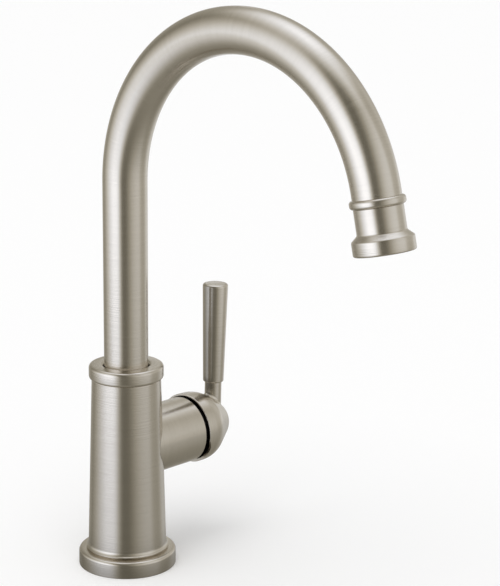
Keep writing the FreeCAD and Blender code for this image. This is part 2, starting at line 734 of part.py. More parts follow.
# Cartridge base with three ports and a seat for the fixed disc.
cartridge = new_body("cartridge_base", z=valve_height)
seat_radius = s.fixed_disc_radius + s.seat_gap
turn_profile(cartridge, "X", [
    (s.chamber_floor, 0),
    (disc_seat, 0),
    (disc_seat, seat_radius),
    (base_top, seat_radius),
    (base_top, s.cartridge_radius),
    (s.chamber_floor, s.cartridge_radius),
])
drill(cartridge, "YZ_Plane", s.chamber_floor, [(y, z, s.port_radius) for y, z in PORTS],
      s.cartridge_base_height, 1)
drill(cartridge, "YZ_Plane", s.chamber_floor,
      [(y, z, s.seal_radius + s.seat_gap) for y, z in PORTS], s.seal_height, 1)

# Fixed ceramic disc with three ports.
fixed = new_body("fixed_disc", z=valve_height)
turn_profile(fixed, "X", rectangle(disc_seat, fixed_top, 0, s.fixed_disc_radius))
drill(fixed, "YZ_Plane", disc_seat, [(y, z, s.disc_port_radius) for y, z in PORTS],
      s.fixed_disc_height, 1)

# Moving ceramic disc with its mixing hollow towards the fixed one.
moving = new_body("moving_disc", z=valve_height)
mixing_radius = moving_disc_radius - s.mixing_wall
turn_profile(moving, "X", rectangle(moving_low, moving_top, 0, moving_disc_radius))
drill(moving, "YZ_Plane", moving_low, [(0, 0, mixing_radius)], s.mixing_depth, 1)

# Carrier of the moving disc: a hole for the stem's ball and two ribs that the stem carrier turns.
carrier = new_body("disc_carrier", z=valve_height)
ball_hole = s.ball_radius + s.rotor_gap
rib_outer = moving_disc_radius - s.rib_inset
rib_inner = rib_outer - s.rib_width
turn_profile(carrier, "X", rectangle(moving_top, carrier_top, 0, moving_disc_radius))
rib_sketch = sketch_on(carrier, "YZ_Plane", carrier_top)
draw(rib_sketch, rectangle(rib_inner, rib_outer, -s.rib_half_width, s.rib_half_width))
draw(rib_sketch, rectangle(-rib_outer, -rib_inner, -s.rib_half_width, s.rib_half_width))
extrude(carrier, "Pad", rib_sketch, s.rib_height, 1)
drill(carrier, "YZ_Plane", carrier_top, [(0, 0, ball_hole)], s.socket_depth, -1)

# Turning stem carrier: a flange under the case's front wall and a slotted neck that holds the pin.
rotor = new_body("stem_carrier", z=valve_height)
rotor_flange_radius = case_bore_radius - s.rotor_side_room
turn_profile(rotor, "X", [
    (rotor_low, 0),
    (rotor_top, 0),
    (rotor_top, s.rotor_neck_radius),
    (rotor_step, s.rotor_neck_radius),
    (rotor_step, rotor_flange_radius),
    (rotor_low, rotor_flange_radius),
])
slot_half = s.stem_width / 2 + s.rotor_gap
neck_side = s.stem_neck_radius / cosine(s.tilt_angle)
slot_high = neck_side + (pivot - rotor_low) * tangent(s.tilt_angle) + s.rotor_gap
stem_side = s.stem_width / 2 / cosine(s.tilt_angle)
slot_low = stem_side + s.rotor_neck_above_pivot * tangent(s.tilt_angle) + s.rotor_gap
mill(rotor, "YZ_Plane", rotor_low, rectangle(-slot_half, slot_half, -slot_low, slot_high),
     rotor_top - rotor_low, 1)
ball_high = s.ball_radius + disc_travel + s.rotor_gap
mill(rotor, "YZ_Plane", rotor_low, rectangle(-slot_half, slot_half, 0, ball_high),
     s.rotor_flange_height, 1)
rib_room = s.rotor_gap / 2
rib_slot_low = -(s.rib_half_width + rib_room)
rib_slot_high = s.rib_half_width + disc_travel + rib_room
for left, right in ((rib_inner, rib_outer), (-rib_outer, -rib_inner)):
    mill(rotor, "YZ_Plane", rotor_low,
         rectangle(left - rib_room, right + rib_room, rib_slot_low, rib_slot_high), s.rib_height, 1)
pin_half = s.rotor_neck_radius - s.pin_radius
drill(rotor, "XZ_Plane", -pin_half, [(pivot, 0, s.pin_radius + s.turn_gap)], pin_half * 2, 1)

# Pin across the stem carrier.
pin = new_body("fulcrum_pin", x=pivot, z=valve_height)
pin_sketch = sketch_on(pin, "XZ_Plane", -pin_half)
draw_circles(pin_sketch, [(0, 0, s.pin_radius)])
extrude(pin, "Pad", pin_sketch, pin_half * 2, 1)

# Cartridge case over base, discs and stem carrier.
case = new_body("cartridge_case", z=valve_height)
case_bore = s.rotor_neck_radius + s.turn_gap
turn_profile(case, "X", [
    (base_top, case_bore_radius),
    (case_inside, case_bore_radius),
    (case_inside, case_bore),
    (case_top, case_bore),
    (case_top, case_neck_radius),
    (case_shoulder, case_neck_radius),
    (case_shoulder, s.cartridge_radius),
    (base_top, s.cartridge_radius),
])

# Retaining nut: presses the case home and holds the sleeve's ledge; notched for a spanner.
ring_nut = new_body("retaining_nut", z=valve_height)
nut_bore = case_neck_radius + s.seat_gap
turn_profile(ring_nut, "X", [
    (case_shoulder, nut_bore),
    (nut_flange_top, nut_bore),
    (nut_flange_top, ring_nut_flange_radius),
    (nut_flange_low, ring_nut_flange_radius),
    (nut_flange_low, chamber_thread_radius - s.turn_gap),
    (case_shoulder, chamber_thread_radius - s.turn_gap),
])
notch_half = s.ring_nut_notch / 2
notch_end = nut_bore + notch_half
for index in range(NUT_NOTCHES):
    along_y = index % 2 == 0
    near, far = (nut_bore - notch_half, notch_end) if index < 2 else (-notch_end, notch_half - nut_bore)
    across = (-notch_half, notch_half)
    slot = rectangle(near, far, *across) if along_y else rectangle(*across, near, far)
    mill(ring_nut, "YZ_Plane", nut_flange_top, slot, s.ring_nut_flange, -1)

# Side sleeve: its inner end is saddled to the column's taper, its ledge sits on the chamber's mouth.
sleeve = new_body("valve_sleeve", z=valve_height)
ledge_radius = chamber_thread_radius + s.seat_gap
turn_profile(sleeve, "X", [
    (0, sleeve_bore),
    (chamber_end, sleeve_bore),
    (chamber_end, ledge_radius),
    (nut_flange_low, ledge_radius),
    (nut_flange_low, sleeve_bore),
    (sleeve_end, sleeve_bore),
    (sleeve_end, sleeve_outer),
    (0, sleeve_outer),
])
turn_profile(sleeve, "Z", [
    (0, taper_low - valve_height),
    (body_foot_radius, taper_low - valve_height),
    (body_top_radius, s.body_height - valve_height),
    (0, s.body_height - valve_height),
], cut=True)
round_rims(sleeve, "X", [(sleeve_end, sleeve_outer, s.sleeve_round)])

# Ball-shaped cap on the retaining nut, open in front for the stem.
cap = new_body("bonnet_cap", z=valve_height)
cap_radius = ring_nut_flange_radius - s.cap_inset
cap_inner = cap_radius - s.cap_wall
cap_rise = nut_flange_top - pivot


def ball_radius_at(radius, distance):
    """Radius of a ball's section at a distance from its centre."""
    return root(radius * radius - distance * distance)


turn_profile(cap, "X", [
    (nut_flange_top, ball_radius_at(cap_radius, cap_rise)),
    (pivot + ball_radius_at(cap_radius, s.cap_opening), s.cap_opening, cap_radius, -1),
    (pivot + ball_radius_at(cap_inner, s.cap_opening), s.cap_opening),
    (nut_flange_top, ball_radius_at(cap_inner, cap_rise), cap_inner, 1),
])

# Stem: a square bar on the pin, with a round neck and a ball behind it that slides the disc.
stem = new_body("valve_stem", z=valve_height)
stem_half = s.stem_width / 2
stem_start = pivot - s.stem_root
stem_sketch = sketch_on(stem, "YZ_Plane", stem_start)
draw(stem_sketch, rectangle(-stem_half, stem_half, -stem_half, stem_half))
extrude(stem, "Pad", stem_sketch, s.stem_root + s.stem_reach, 1)
ball_flat = ball_radius_at(s.ball_radius, s.stem_neck_radius)
turn_profile(stem, "X", [
    (ball_place - s.ball_radius, 0, s.ball_radius, 1),
    (stem_start, 0),
    (stem_start, s.stem_neck_radius),
    (ball_place + ball_flat, s.stem_neck_radius),
    (ball_place, s.ball_radius, s.ball_radius, 1),
])
drill(stem, "XZ_Plane", -stem_half, [(pivot, 0, s.pin_radius + s.turn_gap)], s.stem_width, 1)

# Handle: a band, a shoulder, a cone and a round nose, hollow about the tilt axis, with the lever's neck.
hub = new_body("handle_hub", z=valve_height)
sleeve_reach = sleeve_end - pivot
cavity_radius = root(sleeve_reach * sleeve_reach + sleeve_outer * sleeve_outer) + s.cavity_gap
dome_radius = cavity_radius + s.dome_wall
shoulder_start = rim + s.dome_band
cone_start = shoulder_start + s.dome_shoulder * sine(s.dome_cone_angle)
cone_high = dome_radius - s.dome_shoulder + s.dome_shoulder * cosine(s.dome_cone_angle)
nose_high = s.dome_tip * cosine(s.dome_cone_angle)
nose_start = cone_start + (cone_high - nose_high) / tangent(s.dome_cone_angle)
nose_end = nose_start + s.dome_tip - s.dome_tip * sine(s.dome_cone_angle)
cavity_rim = ball_radius_at(cavity_radius, rim - pivot)
lever_place = cone_start + s.lever_offset
set_screw_place = lever_place - s.set_screw_shift
turn_profile(hub, "X", [
    (rim, cavity_rim, cavity_radius, 1),
    (rim, dome_radius),
    (shoulder_start, dome_radius),
    (cone_start, cone_high, s.dome_shoulder, -1),
    (nose_start, nose_high),
    (nose_end, 0, s.dome_tip, -1),
    (pivot + cavity_radius, 0),
])
round_rims(hub, "X", [(rim, dome_radius, s.rim_round)])


def lever_sketch(body, along):
    """A sketch square to the lever's leaning axis, at a distance along it from the valve's axis."""
    sketch = sketch_on(body, "XY_Plane")
    sketch.AttachmentOffset = FreeCAD.Placement(
        FreeCAD.Vector(0, 0, 0), FreeCAD.Rotation(FreeCAD.Vector(0, 1, 0), s.lever_lean.number))
    sketch.setExpression("AttachmentOffset.Rotation.Angle", s.lever_lean.text)
    sketch.setExpression("AttachmentOffset.Base.x", (lever_place + along * sine(s.lever_lean)).text)
    sketch.setExpression("AttachmentOffset.Base.z", (along * cosine(s.lever_lean)).text)
    return sketch


neck_sketch = lever_sketch(hub, as_size(0))
draw_circles(neck_sketch, [(0, 0, s.neck_radius)])
extrude(hub, "Pad", neck_sketch, s.neck_length, 1)


def distance_from_lever(point):
    """Distance of a point of the handle from the lever's axis."""
    lean = math.radians(s.lever_lean.number)
    axis = FreeCAD.Vector(math.sin(lean), 0, math.cos(lean))
    return (point - FreeCAD.Vector(lever_place.number, 0, 0)).cross(axis).Length


def is_neck_root(edge):
    """True for the edges where the neck leaves the dome."""
    if edge.Degenerated:
        return False
    points = edge.discretize(5)
    on_neck = all(abs(distance_from_lever(p) - s.neck_radius.number) < NECK_MATCH for p in points)
    low = all(p.z < s.neck_length.number - s.neck_fillet.number for p in points)
    return on_neck and low and not isinstance(edge.Curve, Part.Line)


root_edges = [f"Edge{index}" for index, edge in enumerate(hub.Tip.Shape.Edges, start=1)
              if is_neck_root(edge)]
round_edges(hub, root_edges, s.neck_fillet)
stud_sketch = lever_sketch(hub, s.neck_length)
draw_circles(stud_sketch, [(0, 0, s.stud_radius)])
extrude(hub, "Pad", stud_sketch, s.stud_length, 1)
socket_half = stem_half + s.seat_gap
mill(hub, "YZ_Plane", pivot, rectangle(-socket_half, socket_half, -socket_half, socket_half),
     s.stem_reach + s.free_gap, 1)
drill(hub, "XY_Plane", 0, [(set_screw_place, 0, s.set_screw_radius + s.turn_gap)], dome_radius, -1)
sweep_centre = s.rim_relief_sweep - s.rim_relief
sweep_drop = root(s.rim_relief_sweep * s.rim_relief_sweep - sweep_centre * sweep_centre)
relief_side = dome_radius + s.rim_relief
mill(hub, "XZ_Plane", -relief_side, [
    (rim, -s.rim_relief_start),
    (rim + s.rim_relief, -(s.rim_relief_start + sweep_drop), s.rim_relief_sweep, -1),
    (rim + s.rim_relief, -relief_side),
    (rim - s.rim_relief, -relief_side),
    (rim - s.rim_relief, -s.rim_relief_start),
], relief_side * 2, 1)

# Grip on the lever's stud.
grip = new_body("handle_grip", x=lever_place + s.neck_length * sine(s.lever_lean),
                z=valve_height + s.neck_length * cosine(s.lever_lean))
grip.Placement.Rotation = FreeCAD.Rotation(FreeCAD.Vector(0, 1, 0), s.lever_lean.number)
grip.setExpression("Placement.Rotation.Angle", s.lever_lean.text)
stud_hole = s.stud_radius + s.seat_gap
stud_room = s.stud_length + s.free_gap
turn_profile(grip, "Z", [
    (stud_hole, 0),
    (s.grip_foot_radius, 0),
    (s.grip_top_radius, s.grip_length),
    (0, s.grip_length),
    (0, stud_room),
    (stud_hole, stud_room),
])
round_rims(grip, "Z", [
    (0, s.grip_foot_radius, s.grip_foot_round),
    (s.grip_length, s.grip_top_radius, s.grip_top_round),
])

# Set screw under the handle that grips the stem.
set_screw = new_body("handle_set_screw", x=set_screw_place, z=valve_height - stem_half)
turn_profile(set_screw, "Z", rectangle(0, s.set_screw_radius, -s.set_screw_length, 0))
mill(set_screw, "XY_Plane", -s.set_screw_length, hexagon(s.set_screw_key), s.set_screw_key_depth, 1)

# Spout tube: a straight riser, one arc and a short straight end.
spout = new_body("spout_tube")
bend_end_y = s.bend_radius * cosine(s.bend_angle) - s.bend_radius
bend_end_z = bend_start + s.bend_radius * sine(s.bend_angle)
tube_end_y = bend_end_y - s.tube_tail * sine(s.bend_angle)
tube_end_z = bend_end_z + s.tube_tail * cosine(s.bend_angle)
spine = sketch_on(spout, "YZ_Plane")
draw(spine, [
    (0, flange_top),
    (0, bend_start),
    (-s.bend_radius, bend_start + s.bend_radius, s.bend_radius, 1),
    (bend_end_y, bend_end_z, s.bend_radius, 1),
    (tube_end_y, tube_end_z),
], closed=False)
section = sketch_on(spout, "XY_Plane", flange_top)
draw_circles(section, [(0, 0, s.tube_radius), (0, 0, s.tube_radius - s.tube_wall)])
pipe = spout.newObject("PartDesign::AdditivePipe", "spout_pipe")
pipe.Profile = section
pipe.Spine = (spine, ["Edge1", "Edge2", "Edge3", "Edge4"])
doc.recompute()

# Swivel foot of the spout: a plug in the tube, a flange and a spigot with two seal grooves.
plug_radius = s.tube_radius - s.tube_wall - s.turn_gap
spigot_low = manifold_top - s.spigot_length
groove_depth = s.oring_thickness + s.groove_room
groove_width = s.oring_thickness + s.groove_side_room
groove_floor = s.spigot_radius - groove_depth
spout_bore_radius = groove_floor - s.spigot_core_wall
spout_flange_radius = neck_bore_radius - s.free_gap
swivel = new_body("spout_base")
turn_profile(swivel, "Z", [
    (spout_bore_radius, spigot_low),
    (s.spigot_radius, spigot_low),
    (s.spigot_radius, flange_low),
    (spout_flange_radius, flange_low),
    (spout_flange_radius, flange_top),
    (plug_radius, flange_top),
    (plug_radius, flange_top + s.plug_height),
    (spout_bore_radius, flange_top + s.plug_height),
])
orings = []
for index in range(2):
    groove_top = manifold_top - s.groove_first - s.groove_pitch * index
    groove_low = groove_top - groove_width
    turn_profile(swivel, "Z", rectangle(groove_floor, s.spigot_radius + s.free_gap, groove_low, groove_top),
                 cut=True)
    oring = doc.addObject("Part::Torus", f"oring_{index}")
    oring_centre = s.spigot_radius + s.turn_gap / 2 - s.oring_thickness / 2
    oring.setExpression("Radius1", oring_centre.text)
    oring.setExpression("Radius2", (s.oring_thickness / 2).text)
    place(oring, z=groove_low + groove_width / 2)
    orings.append(oring)
group("spout_orings", orings)

# Plastic slip rings below and above the spout's flange.
slip_radius = neck_bore_radius - s.seat_gap * 2
ring_piece("lower_slip_ring", s.spigot_radius + s.free_gap, slip_radius, manifold_top, flange_low)
ring_piece("upper_slip_ring", s.tube_radius + s.free_gap, slip_radius, flange_top, skirt_low)

# Ring nut on the column: a threaded skirt holds the spout down.
collar_bore = s.tube_radius + s.collar_bore_gap
collar_top = s.body_height + s.collar_height
collar = new_body("spout_collar")
turn_profile(collar, "Z", [
    (collar_bore, skirt_low),
    (neck_bore_radius - s.turn_gap, skirt_low),
    (neck_bore_radius - s.turn_gap, s.body_height),
    (collar_radius, s.body_height),
    (collar_radius, collar_top),
    (collar_bore + s.collar_mouth, collar_top),
    (collar_bore, collar_top - s.collar_mouth),
])
round_rims(collar, "Z", [
    (collar_top, collar_radius, s.collar_top_round),
    (s.body_height, collar_radius, s.collar_foot_round),
])


def outlet_body(label):
    """A piece at the tube's end, with its own Z along the flow."""
    body = new_body(label, y=tube_end_y, z=tube_end_z)
    body.Placement.Rotation = FreeCAD.Rotation(FreeCAD.Vector(1, 0, 0), s.bend_angle.number)
    body.setExpression("Placement.Rotation.Angle", s.bend_angle.text)
    return body


# Bead between the tube and the outlet.
insert_radius = s.tube_radius - s.tube_wall - s.turn_gap
bead_radius = s.tube_radius + s.bead_proud
bead = outlet_body("spout_bead")
turn_profile(bead, "Z", rectangle(insert_radius + s.turn_gap, bead_radius, 0, s.bead_height))
round_rims(bead, "Z", [
    (0, bead_radius, s.bead_round),
    (s.bead_height, bead_radius, s.bead_round),
])

# Outlet: a spigot in the tube, a barrel, a cone and an end ring, threaded inside for the aerator.
nozzle_radius = s.tube_radius + s.barrel_step
ring_radius = nozzle_radius + s.ring_step
aerator_thread_radius = nozzle_radius - s.barrel_wall
nozzle_bore_radius = aerator_thread_radius - s.ledge_width
barrel_end = s.bead_height + s.barrel_length
flare_end = barrel_end + s.flare_length
outlet_end = flare_end + s.ring_length
aerator_end = outlet_end - s.aerator_recess
aerator_start = aerator_end - s.aerator_length
ledge = aerator_start - s.aerator_gasket_height
nozzle = outlet_body("nozzle")
turn_profile(nozzle, "Z", [
    (nozzle_bore_radius, -s.insert_length),
    (insert_radius, -s.insert_length),
    (insert_radius, s.bead_height),
    (nozzle_radius, s.bead_height),
    (nozzle_radius, barrel_end),
    (ring_radius, flare_end),
    (ring_radius, outlet_end),
    (aerator_thread_radius, outlet_end),
    (aerator_thread_radius, ledge),
    (nozzle_bore_radius, ledge),
])
round_rims(nozzle, "Z", [
    (flare_end, ring_radius, s.ring_top_round),
    (outlet_end, ring_radius, s.ring_end_round),
])

# Aerator: gasket, housing, flow regulator and outlet screen.
housing_radius = aerator_thread_radius - s.turn_gap
housing_bore = housing_radius - s.aerator_wall
mouth_radius = housing_bore - s.aerator_rim
gasket = outlet_body("aerator_gasket")
turn_profile(gasket, "Z", rectangle(nozzle_bore_radius, housing_radius, ledge, aerator_start))
housing = outlet_body("aerator_housing")
turn_profile(housing, "Z", [
    (housing_bore, aerator_start),
    (housing_radius, aerator_start),
    (housing_radius, aerator_end),
    (mouth_radius, aerator_end),
    (mouth_radius, aerator_end - s.aerator_rim),
    (housing_bore, aerator_end - s.aerator_rim),
])
insert_piece = housing_bore - s.turn_gap
regulator = outlet_body("flow_regulator")
turn_profile(regulator, "Z", rectangle(0, insert_piece, aerator_start, aerator_start + s.regulator_height))
regulator_turns = [as_size(360 * index / REGULATOR_HOLES) for index in range(REGULATOR_HOLES)]
drill(regulator, "XY_Plane", aerator_start,
      [(s.regulator_circle * cosine(turn), s.regulator_circle * sine(turn), s.regulator_hole)
       for turn in regulator_turns], s.regulator_height, 1)
screen = outlet_body("aerator_screen")
screen_low = aerator_end - s.aerator_rim - s.screen_height
turn_profile(screen, "Z", rectangle(0, insert_piece, screen_low, screen_low + s.screen_height))
screen_holes = []
for column in range(-SCREEN_RINGS, SCREEN_RINGS + 1):
    for line in range(-SCREEN_RINGS, SCREEN_RINGS + 1):
        if abs(column + line) <= SCREEN_RINGS:
            across = s.screen_pitch * (column + line / 2)
            up = s.screen_pitch * (line * math.sqrt(3) / 2)
            screen_holes.append((across, up, s.screen_hole))
drill(screen, "XY_Plane", screen_low, screen_holes, s.screen_height, 1)

doc.recompute()
for item in doc.Objects:
    if "Invalid" in item.State or "Error" in item.State:
        raise ValueError(f"{item.Label} failed to build")
for piece in pieces:
    if piece.Shape.isNull() or not piece.Shape.isValid() or not piece.Shape.Solids:
        raise ValueError(f"{piece.Label} has no valid solid")

os.makedirs("parts", exist_ok=True)
for piece in pieces:
    piece.Shape.exportStep(f"parts/{piece.Label}.step")
    print(f"{piece.Label}: {len(piece.Shape.Solids)} solids, {piece.Shape.Volume:.1f} mm3")
print(f"{len(pieces)} pieces; tilt axis at x {pivot.number:.2f}, rim {rim.number:.2f}, "
      f"sleeve end {sleeve_end.number:.2f}, nose {nose_end.number:.2f}")
print(f"tube end y {tube_end_y.number:.2f} z {tube_end_z.number:.2f}, "
      f"ball arm {pivot.number - ball_place.number:.2f}")
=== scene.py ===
"""Kitchen faucet with one side lever and a high swivel spout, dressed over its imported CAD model.

+Z is up, the deck is Z = 0, the spout points to -Y and the valve lies along +X. Sizes of pieces are in
millimetres, and noise and brushing are in cycles a metre.
"""
import math

import bmesh
import bpy
import numpy as np
from mathutils import Euler, Matrix, Vector


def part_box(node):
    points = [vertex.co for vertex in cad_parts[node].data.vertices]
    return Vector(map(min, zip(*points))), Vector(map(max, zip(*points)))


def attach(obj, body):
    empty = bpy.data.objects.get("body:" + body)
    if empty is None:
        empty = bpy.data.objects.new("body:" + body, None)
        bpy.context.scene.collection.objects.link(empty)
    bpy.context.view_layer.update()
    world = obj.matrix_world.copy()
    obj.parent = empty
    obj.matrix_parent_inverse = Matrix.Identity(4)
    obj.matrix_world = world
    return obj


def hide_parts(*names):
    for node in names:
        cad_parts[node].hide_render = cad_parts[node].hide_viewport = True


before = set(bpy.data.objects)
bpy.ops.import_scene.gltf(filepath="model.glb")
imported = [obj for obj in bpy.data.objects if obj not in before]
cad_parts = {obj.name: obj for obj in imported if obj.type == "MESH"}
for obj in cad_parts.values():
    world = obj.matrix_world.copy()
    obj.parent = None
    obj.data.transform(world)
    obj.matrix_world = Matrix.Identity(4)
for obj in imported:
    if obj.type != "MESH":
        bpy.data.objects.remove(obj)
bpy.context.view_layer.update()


# Round foot: a turned brass ring, plated and brushed to satin nickel like all that shows.
# Its upper edge is rolled over, and a groove in its underside holds the deck seal.

mm = 0.001
foot_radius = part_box("base_flange")[1].x / mm
foot_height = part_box("base_flange")[1].z / mm
foot_roll = 2.4
foot_lower_edge = 0.4
seal_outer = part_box("base_gasket")[1].x / mm
seal_width = 4.5
seal_inner = seal_outer - seal_width
seal_depth = 2.0
seal_room = 0.1
groove_inner = seal_inner - seal_room
groove_outer = seal_outer + seal_room
groove_corner = 0.1
foot_lip = 1.5
foot_bore = seal_inner - foot_lip
broken_edge = 0.25
weld_distance = 0.002
smooth_up_to = math.radians(35)


def rounded(corners, steps=7):
    """Closed outline of points (radius, height), from corners (radius, height, rounding).

    Each corner gives way to the arc of its rounding that touches both sides: its centre lies on the
    corner's bisector, at the rounding over the sine of half the corner's angle.
    """
    corner = np.array(corners, float)
    point = corner[:, :2]
    rounding = corner[:, 2:]
    before = np.roll(point, 1, axis=0) - point
    after = np.roll(point, -1, axis=0) - point
    before /= np.linalg.norm(before, axis=1, keepdims=True)
    after /= np.linalg.norm(after, axis=1, keepdims=True)
    half = np.arccos(np.sum(before * after, axis=1, keepdims=True)) / 2
    bisector = (before + after) / np.linalg.norm(before + after, axis=1, keepdims=True)
    centre = point + bisector * rounding / np.sin(half)
    first = point + before * rounding / np.tan(half) - centre
    last = point + after * rounding / np.tan(half) - centre
    sweep = (np.pi - 2 * half)[:, None]
    share = np.linspace(0, 1, steps)[None, :, None]
    arc = np.sin((1 - share) * sweep) * first[:, None] + np.sin(share * sweep) * last[:, None]
    return (centre[:, None] + arc / np.sin(sweep)).reshape(-1, 2)


def skin(name, grid, closed_rows=True):
    """Mesh over a grid of points, whose columns run round and close.

    Its rows close too where they are a loop. Points that fall together, as at a pole, become one.
    """
    number = np.arange(grid.shape[0] * grid.shape[1]).reshape(grid.shape[:2])
    beside = np.roll(number, -1, axis=1)
    quads = np.stack([number, beside, np.roll(beside, -1, axis=0), np.roll(number, -1, axis=0)], axis=2)
    if not closed_rows:
        quads = quads[:-1]
    mesh = bpy.data.meshes.new(name)
    mesh.from_pydata(grid.reshape(-1, 3) * mm, [], quads.reshape(-1, 4))
    welded = bmesh.new()
    welded.from_mesh(mesh)
    bmesh.ops.remove_doubles(welded, verts=welded.verts, dist=weld_distance * mm)
    welded.to_mesh(mesh)
    welded.free()
    mesh.shade_smooth()
    mesh.set_sharp_from_angle(angle=smooth_up_to)
    piece = bpy.data.objects.new(name, mesh)
    bpy.context.scene.collection.objects.link(piece)
    return piece


def turned(name, outline, seat=(0, 0, 0), axis=(0, 0, 1), sides=144, carve=None):
    """Turned piece: an outline of points (radius, height), carried round an axis.

    At an angle a, a point goes to seat + radius (cos a . across + sin a . up) + height . axis. carve may
    change the radius and height by the angle, for flats and threads. An outline that starts on the axis
    also ends there.
    """
    turn = np.arange(sides) * 2 * np.pi / sides
    radius = np.repeat(outline[:, :1], sides, axis=1)
    height = np.repeat(outline[:, 1:], sides, axis=1)
    if carve:
        radius, height = carve(radius, height, turn)
    axis = np.array(axis, float)
    across = np.cross((0, 1, 0) if abs(axis[2]) > 0.5 else (0, 0, 1), axis)
    across /= np.linalg.norm(across)
    up = np.cross(axis, across)
    ring = np.cos(turn)[:, None] * across + np.sin(turn)[:, None] * up
    grid = np.array(seat, float) + radius[..., None] * ring + height[..., None] * axis
    return skin(name, grid, closed_rows=outline[0, 0] > 0)


class Shade:
    """A value among a material's nodes. An operator on values and numbers adds a Math node."""

    def __init__(self, tree, socket=None):
        self.tree = tree
        self.socket = socket

    def node(self, kind, settings=(), inputs=(), output=0):
        """New node of a type: first its settings, then numbers or other values for its sockets."""
        made = self.tree.nodes.new("ShaderNode" + kind)
        for key, setting in dict(settings).items():
            setattr(made, key, setting)
        for key, value in dict(inputs).items():
            if isinstance(value, Shade):
                self.tree.links.new(value.socket, made.inputs[key])
            else:
                made.inputs[key].default_value = value
        return Shade(self.tree, made.outputs[output] if made.outputs else None)

    def maths(self, operation, *values):
        """Math node on numbers."""
        return self.node("Math", {"operation": operation}, enumerate(values))

    def vectors(self, operation, *values, output=0):
        """Vector Math node on vectors. Its output Value is a length, a distance or a dot product."""
        return self.node("VectorMath", {"operation": operation}, enumerate(values), output)

    def place(self):
        """Where a point of the piece lies, in metres."""
        return self.node("TexCoord", output="Object")

    def noise(self, place, scale, detail):
        """Noise from 0 to 1 over a place."""
        return self.node("TexNoise", {}, {"Vector": place, "Scale": scale, "Detail": detail})

    def blend(self, factor, *ends):
        """Colour that goes from the first of two ends to the other as a factor goes from 0 to 1."""
        first, last = (end if isinstance(end, Shade) else (*end, 1) for end in ends)
        return self.node("Mix", {"data_type": "RGBA"}, {"Factor": factor, 6: first, 7: last}, output=2)

    def __add__(self, other):
        return self.maths("ADD", self, other)

    __radd__ = __add__

    def __mul__(self, other):
        return self.maths("MULTIPLY", self, other)

    __rmul__ = __mul__

    def __sub__(self, other):
        return self.maths("SUBTRACT", self, other)

    def __rsub__(self, other):
        return self.maths("SUBTRACT", other, self)


def blank(name):
    """New material without nodes, and the Shade that adds its nodes."""
    material = bpy.data.materials.new(name)
    material.use_nodes = True
    material.node_tree.nodes.clear()
    return material, Shade(material.node_tree)


def toned(colour, strength):
    """The colour times a strength, at most 1."""
    return [min(1, part * strength) for part in colour]


def about_axis(shade, seat, axis):
    """Height along an axis, and radius about it."""
    arm = shade.vectors("SUBTRACT", shade.place(), [at * mm for at in seat])
    height = shade.vectors("DOT_PRODUCT", arm, axis, output="Value")
    radius = shade.vectors("LENGTH", shade.vectors("CROSS_PRODUCT", arm, axis), output="Value")
    return height, radius


radius_share = 1.7


def across_turning(shade, seat, axis):
    """Distance that changes only across the marks of turning about an axis.

    It is the height plus a share of the radius, so that walls and end faces both get their rings.
    """
    height, radius = about_axis(shade, seat, axis)
    return height + radius_share * radius


stroke_scale = 38
haze_scale = 24
brushing_detail = 3
pale_streak = 1.08
deep_streak = 0.9
streak_gloss = 0.08
haze_gloss = 0.1
painted_shade_tone = 0.08
hollow_dullness = 0.4


def brushed(name, across, colour, roughness, lines=3000, depth=0.06, painted_shade=None):
    """Brushed metal, with so many lines a metre across its strokes.

    Noise that is stretched along the strokes and quick across them gives the colour its streaks, the gloss
    its grain and the surface its fine grooves. Slow noise adds a faint haze. Where painted_shade is 1, the
    colour is darkened nearly to black as painted shade, and the gloss is duller.
    """
    material, shade = blank(name)
    place = shade.place()
    drawn_out = shade.node("VectorMath", {"operation": "SCALE"}, {0: place, "Scale": stroke_scale})
    groove = shade.node("TexNoise", {"noise_dimensions": "4D"}, {
        "Vector": drawn_out, "W": across(shade) * lines, "Scale": 1, "Detail": brushing_detail})
    haze = shade.noise(place, haze_scale, brushing_detail)
    tint = shade.blend(groove, toned(colour, deep_streak), toned(colour, pale_streak))
    gloss = roughness + streak_gloss * (groove - 0.5) + haze_gloss * (haze - 0.5)
    # Painted shade: where the mask is 1, the colour goes nearly black and the gloss duller.
    if painted_shade:
        painted_shade_share = painted_shade(shade)
        tint = shade.blend(painted_shade_share, tint, toned(colour, painted_shade_tone))
        gloss = gloss + hollow_dullness * painted_shade_share
    bump = shade.node("Bump", {}, {"Height": groove, "Strength": 1, "Distance": depth * mm})
    metal = shade.node("BsdfPrincipled", {}, {
        "Base Color": tint, "Metallic": 1, "Normal": bump, "Roughness": gloss})
    shade.node("OutputMaterial", {}, {"Surface": metal})
    return material


nickel_colour = (0.70, 0.655, 0.585)
nickel_roughness = 0.2


def satin_nickel(name, across, painted_shade=None):
    """Satin nickel, brushed along lines on which the given distance stays the same."""
    return brushed(name, across, nickel_colour, nickel_roughness, painted_shade=painted_shade)


def about_riser(shade):
    """Distance across the marks of turning about the riser's axis."""
    return across_turning(shade, (0, 0, 0), (0, 0, 1))


def assemble(piece, material, body, node):
    """Gives a piece its finish, and lets it ride on a body in place of a CAD node."""
    piece.data.materials.append(material)
    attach(piece, body)
    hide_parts(node)


nickel_about_riser = satin_nickel("satin_nickel_about_riser", about_riser)
foot = turned("round_foot", rounded([
    (foot_bore, 0, broken_edge), (groove_inner, 0, broken_edge), (groove_inner, seal_depth, groove_corner),
    (groove_outer, seal_depth, groove_corner), (groove_outer, 0, broken_edge),
    (foot_radius, 0, foot_lower_edge),
    (foot_radius, foot_height, foot_roll), (foot_bore, foot_height, broken_edge)]))
assemble(foot, nickel_about_riser, "base", "base_flange")


# Deck seal: a flat ring of black rubber in the groove of the foot, which stays flush with it.
# It is cut from sheet, so its faces are matt and its edges barely broken.

seal_edge = 0.3
rubber_colour = (0.022, 0.022, 0.023)
rubber_roughness = 0.62
bloom_scale = 90
bloom_tone = 1.8
bloom_gloss = 0.2
rubber_grain = 1500
rubber_bump = 0.5
rubber_depth = 0.1


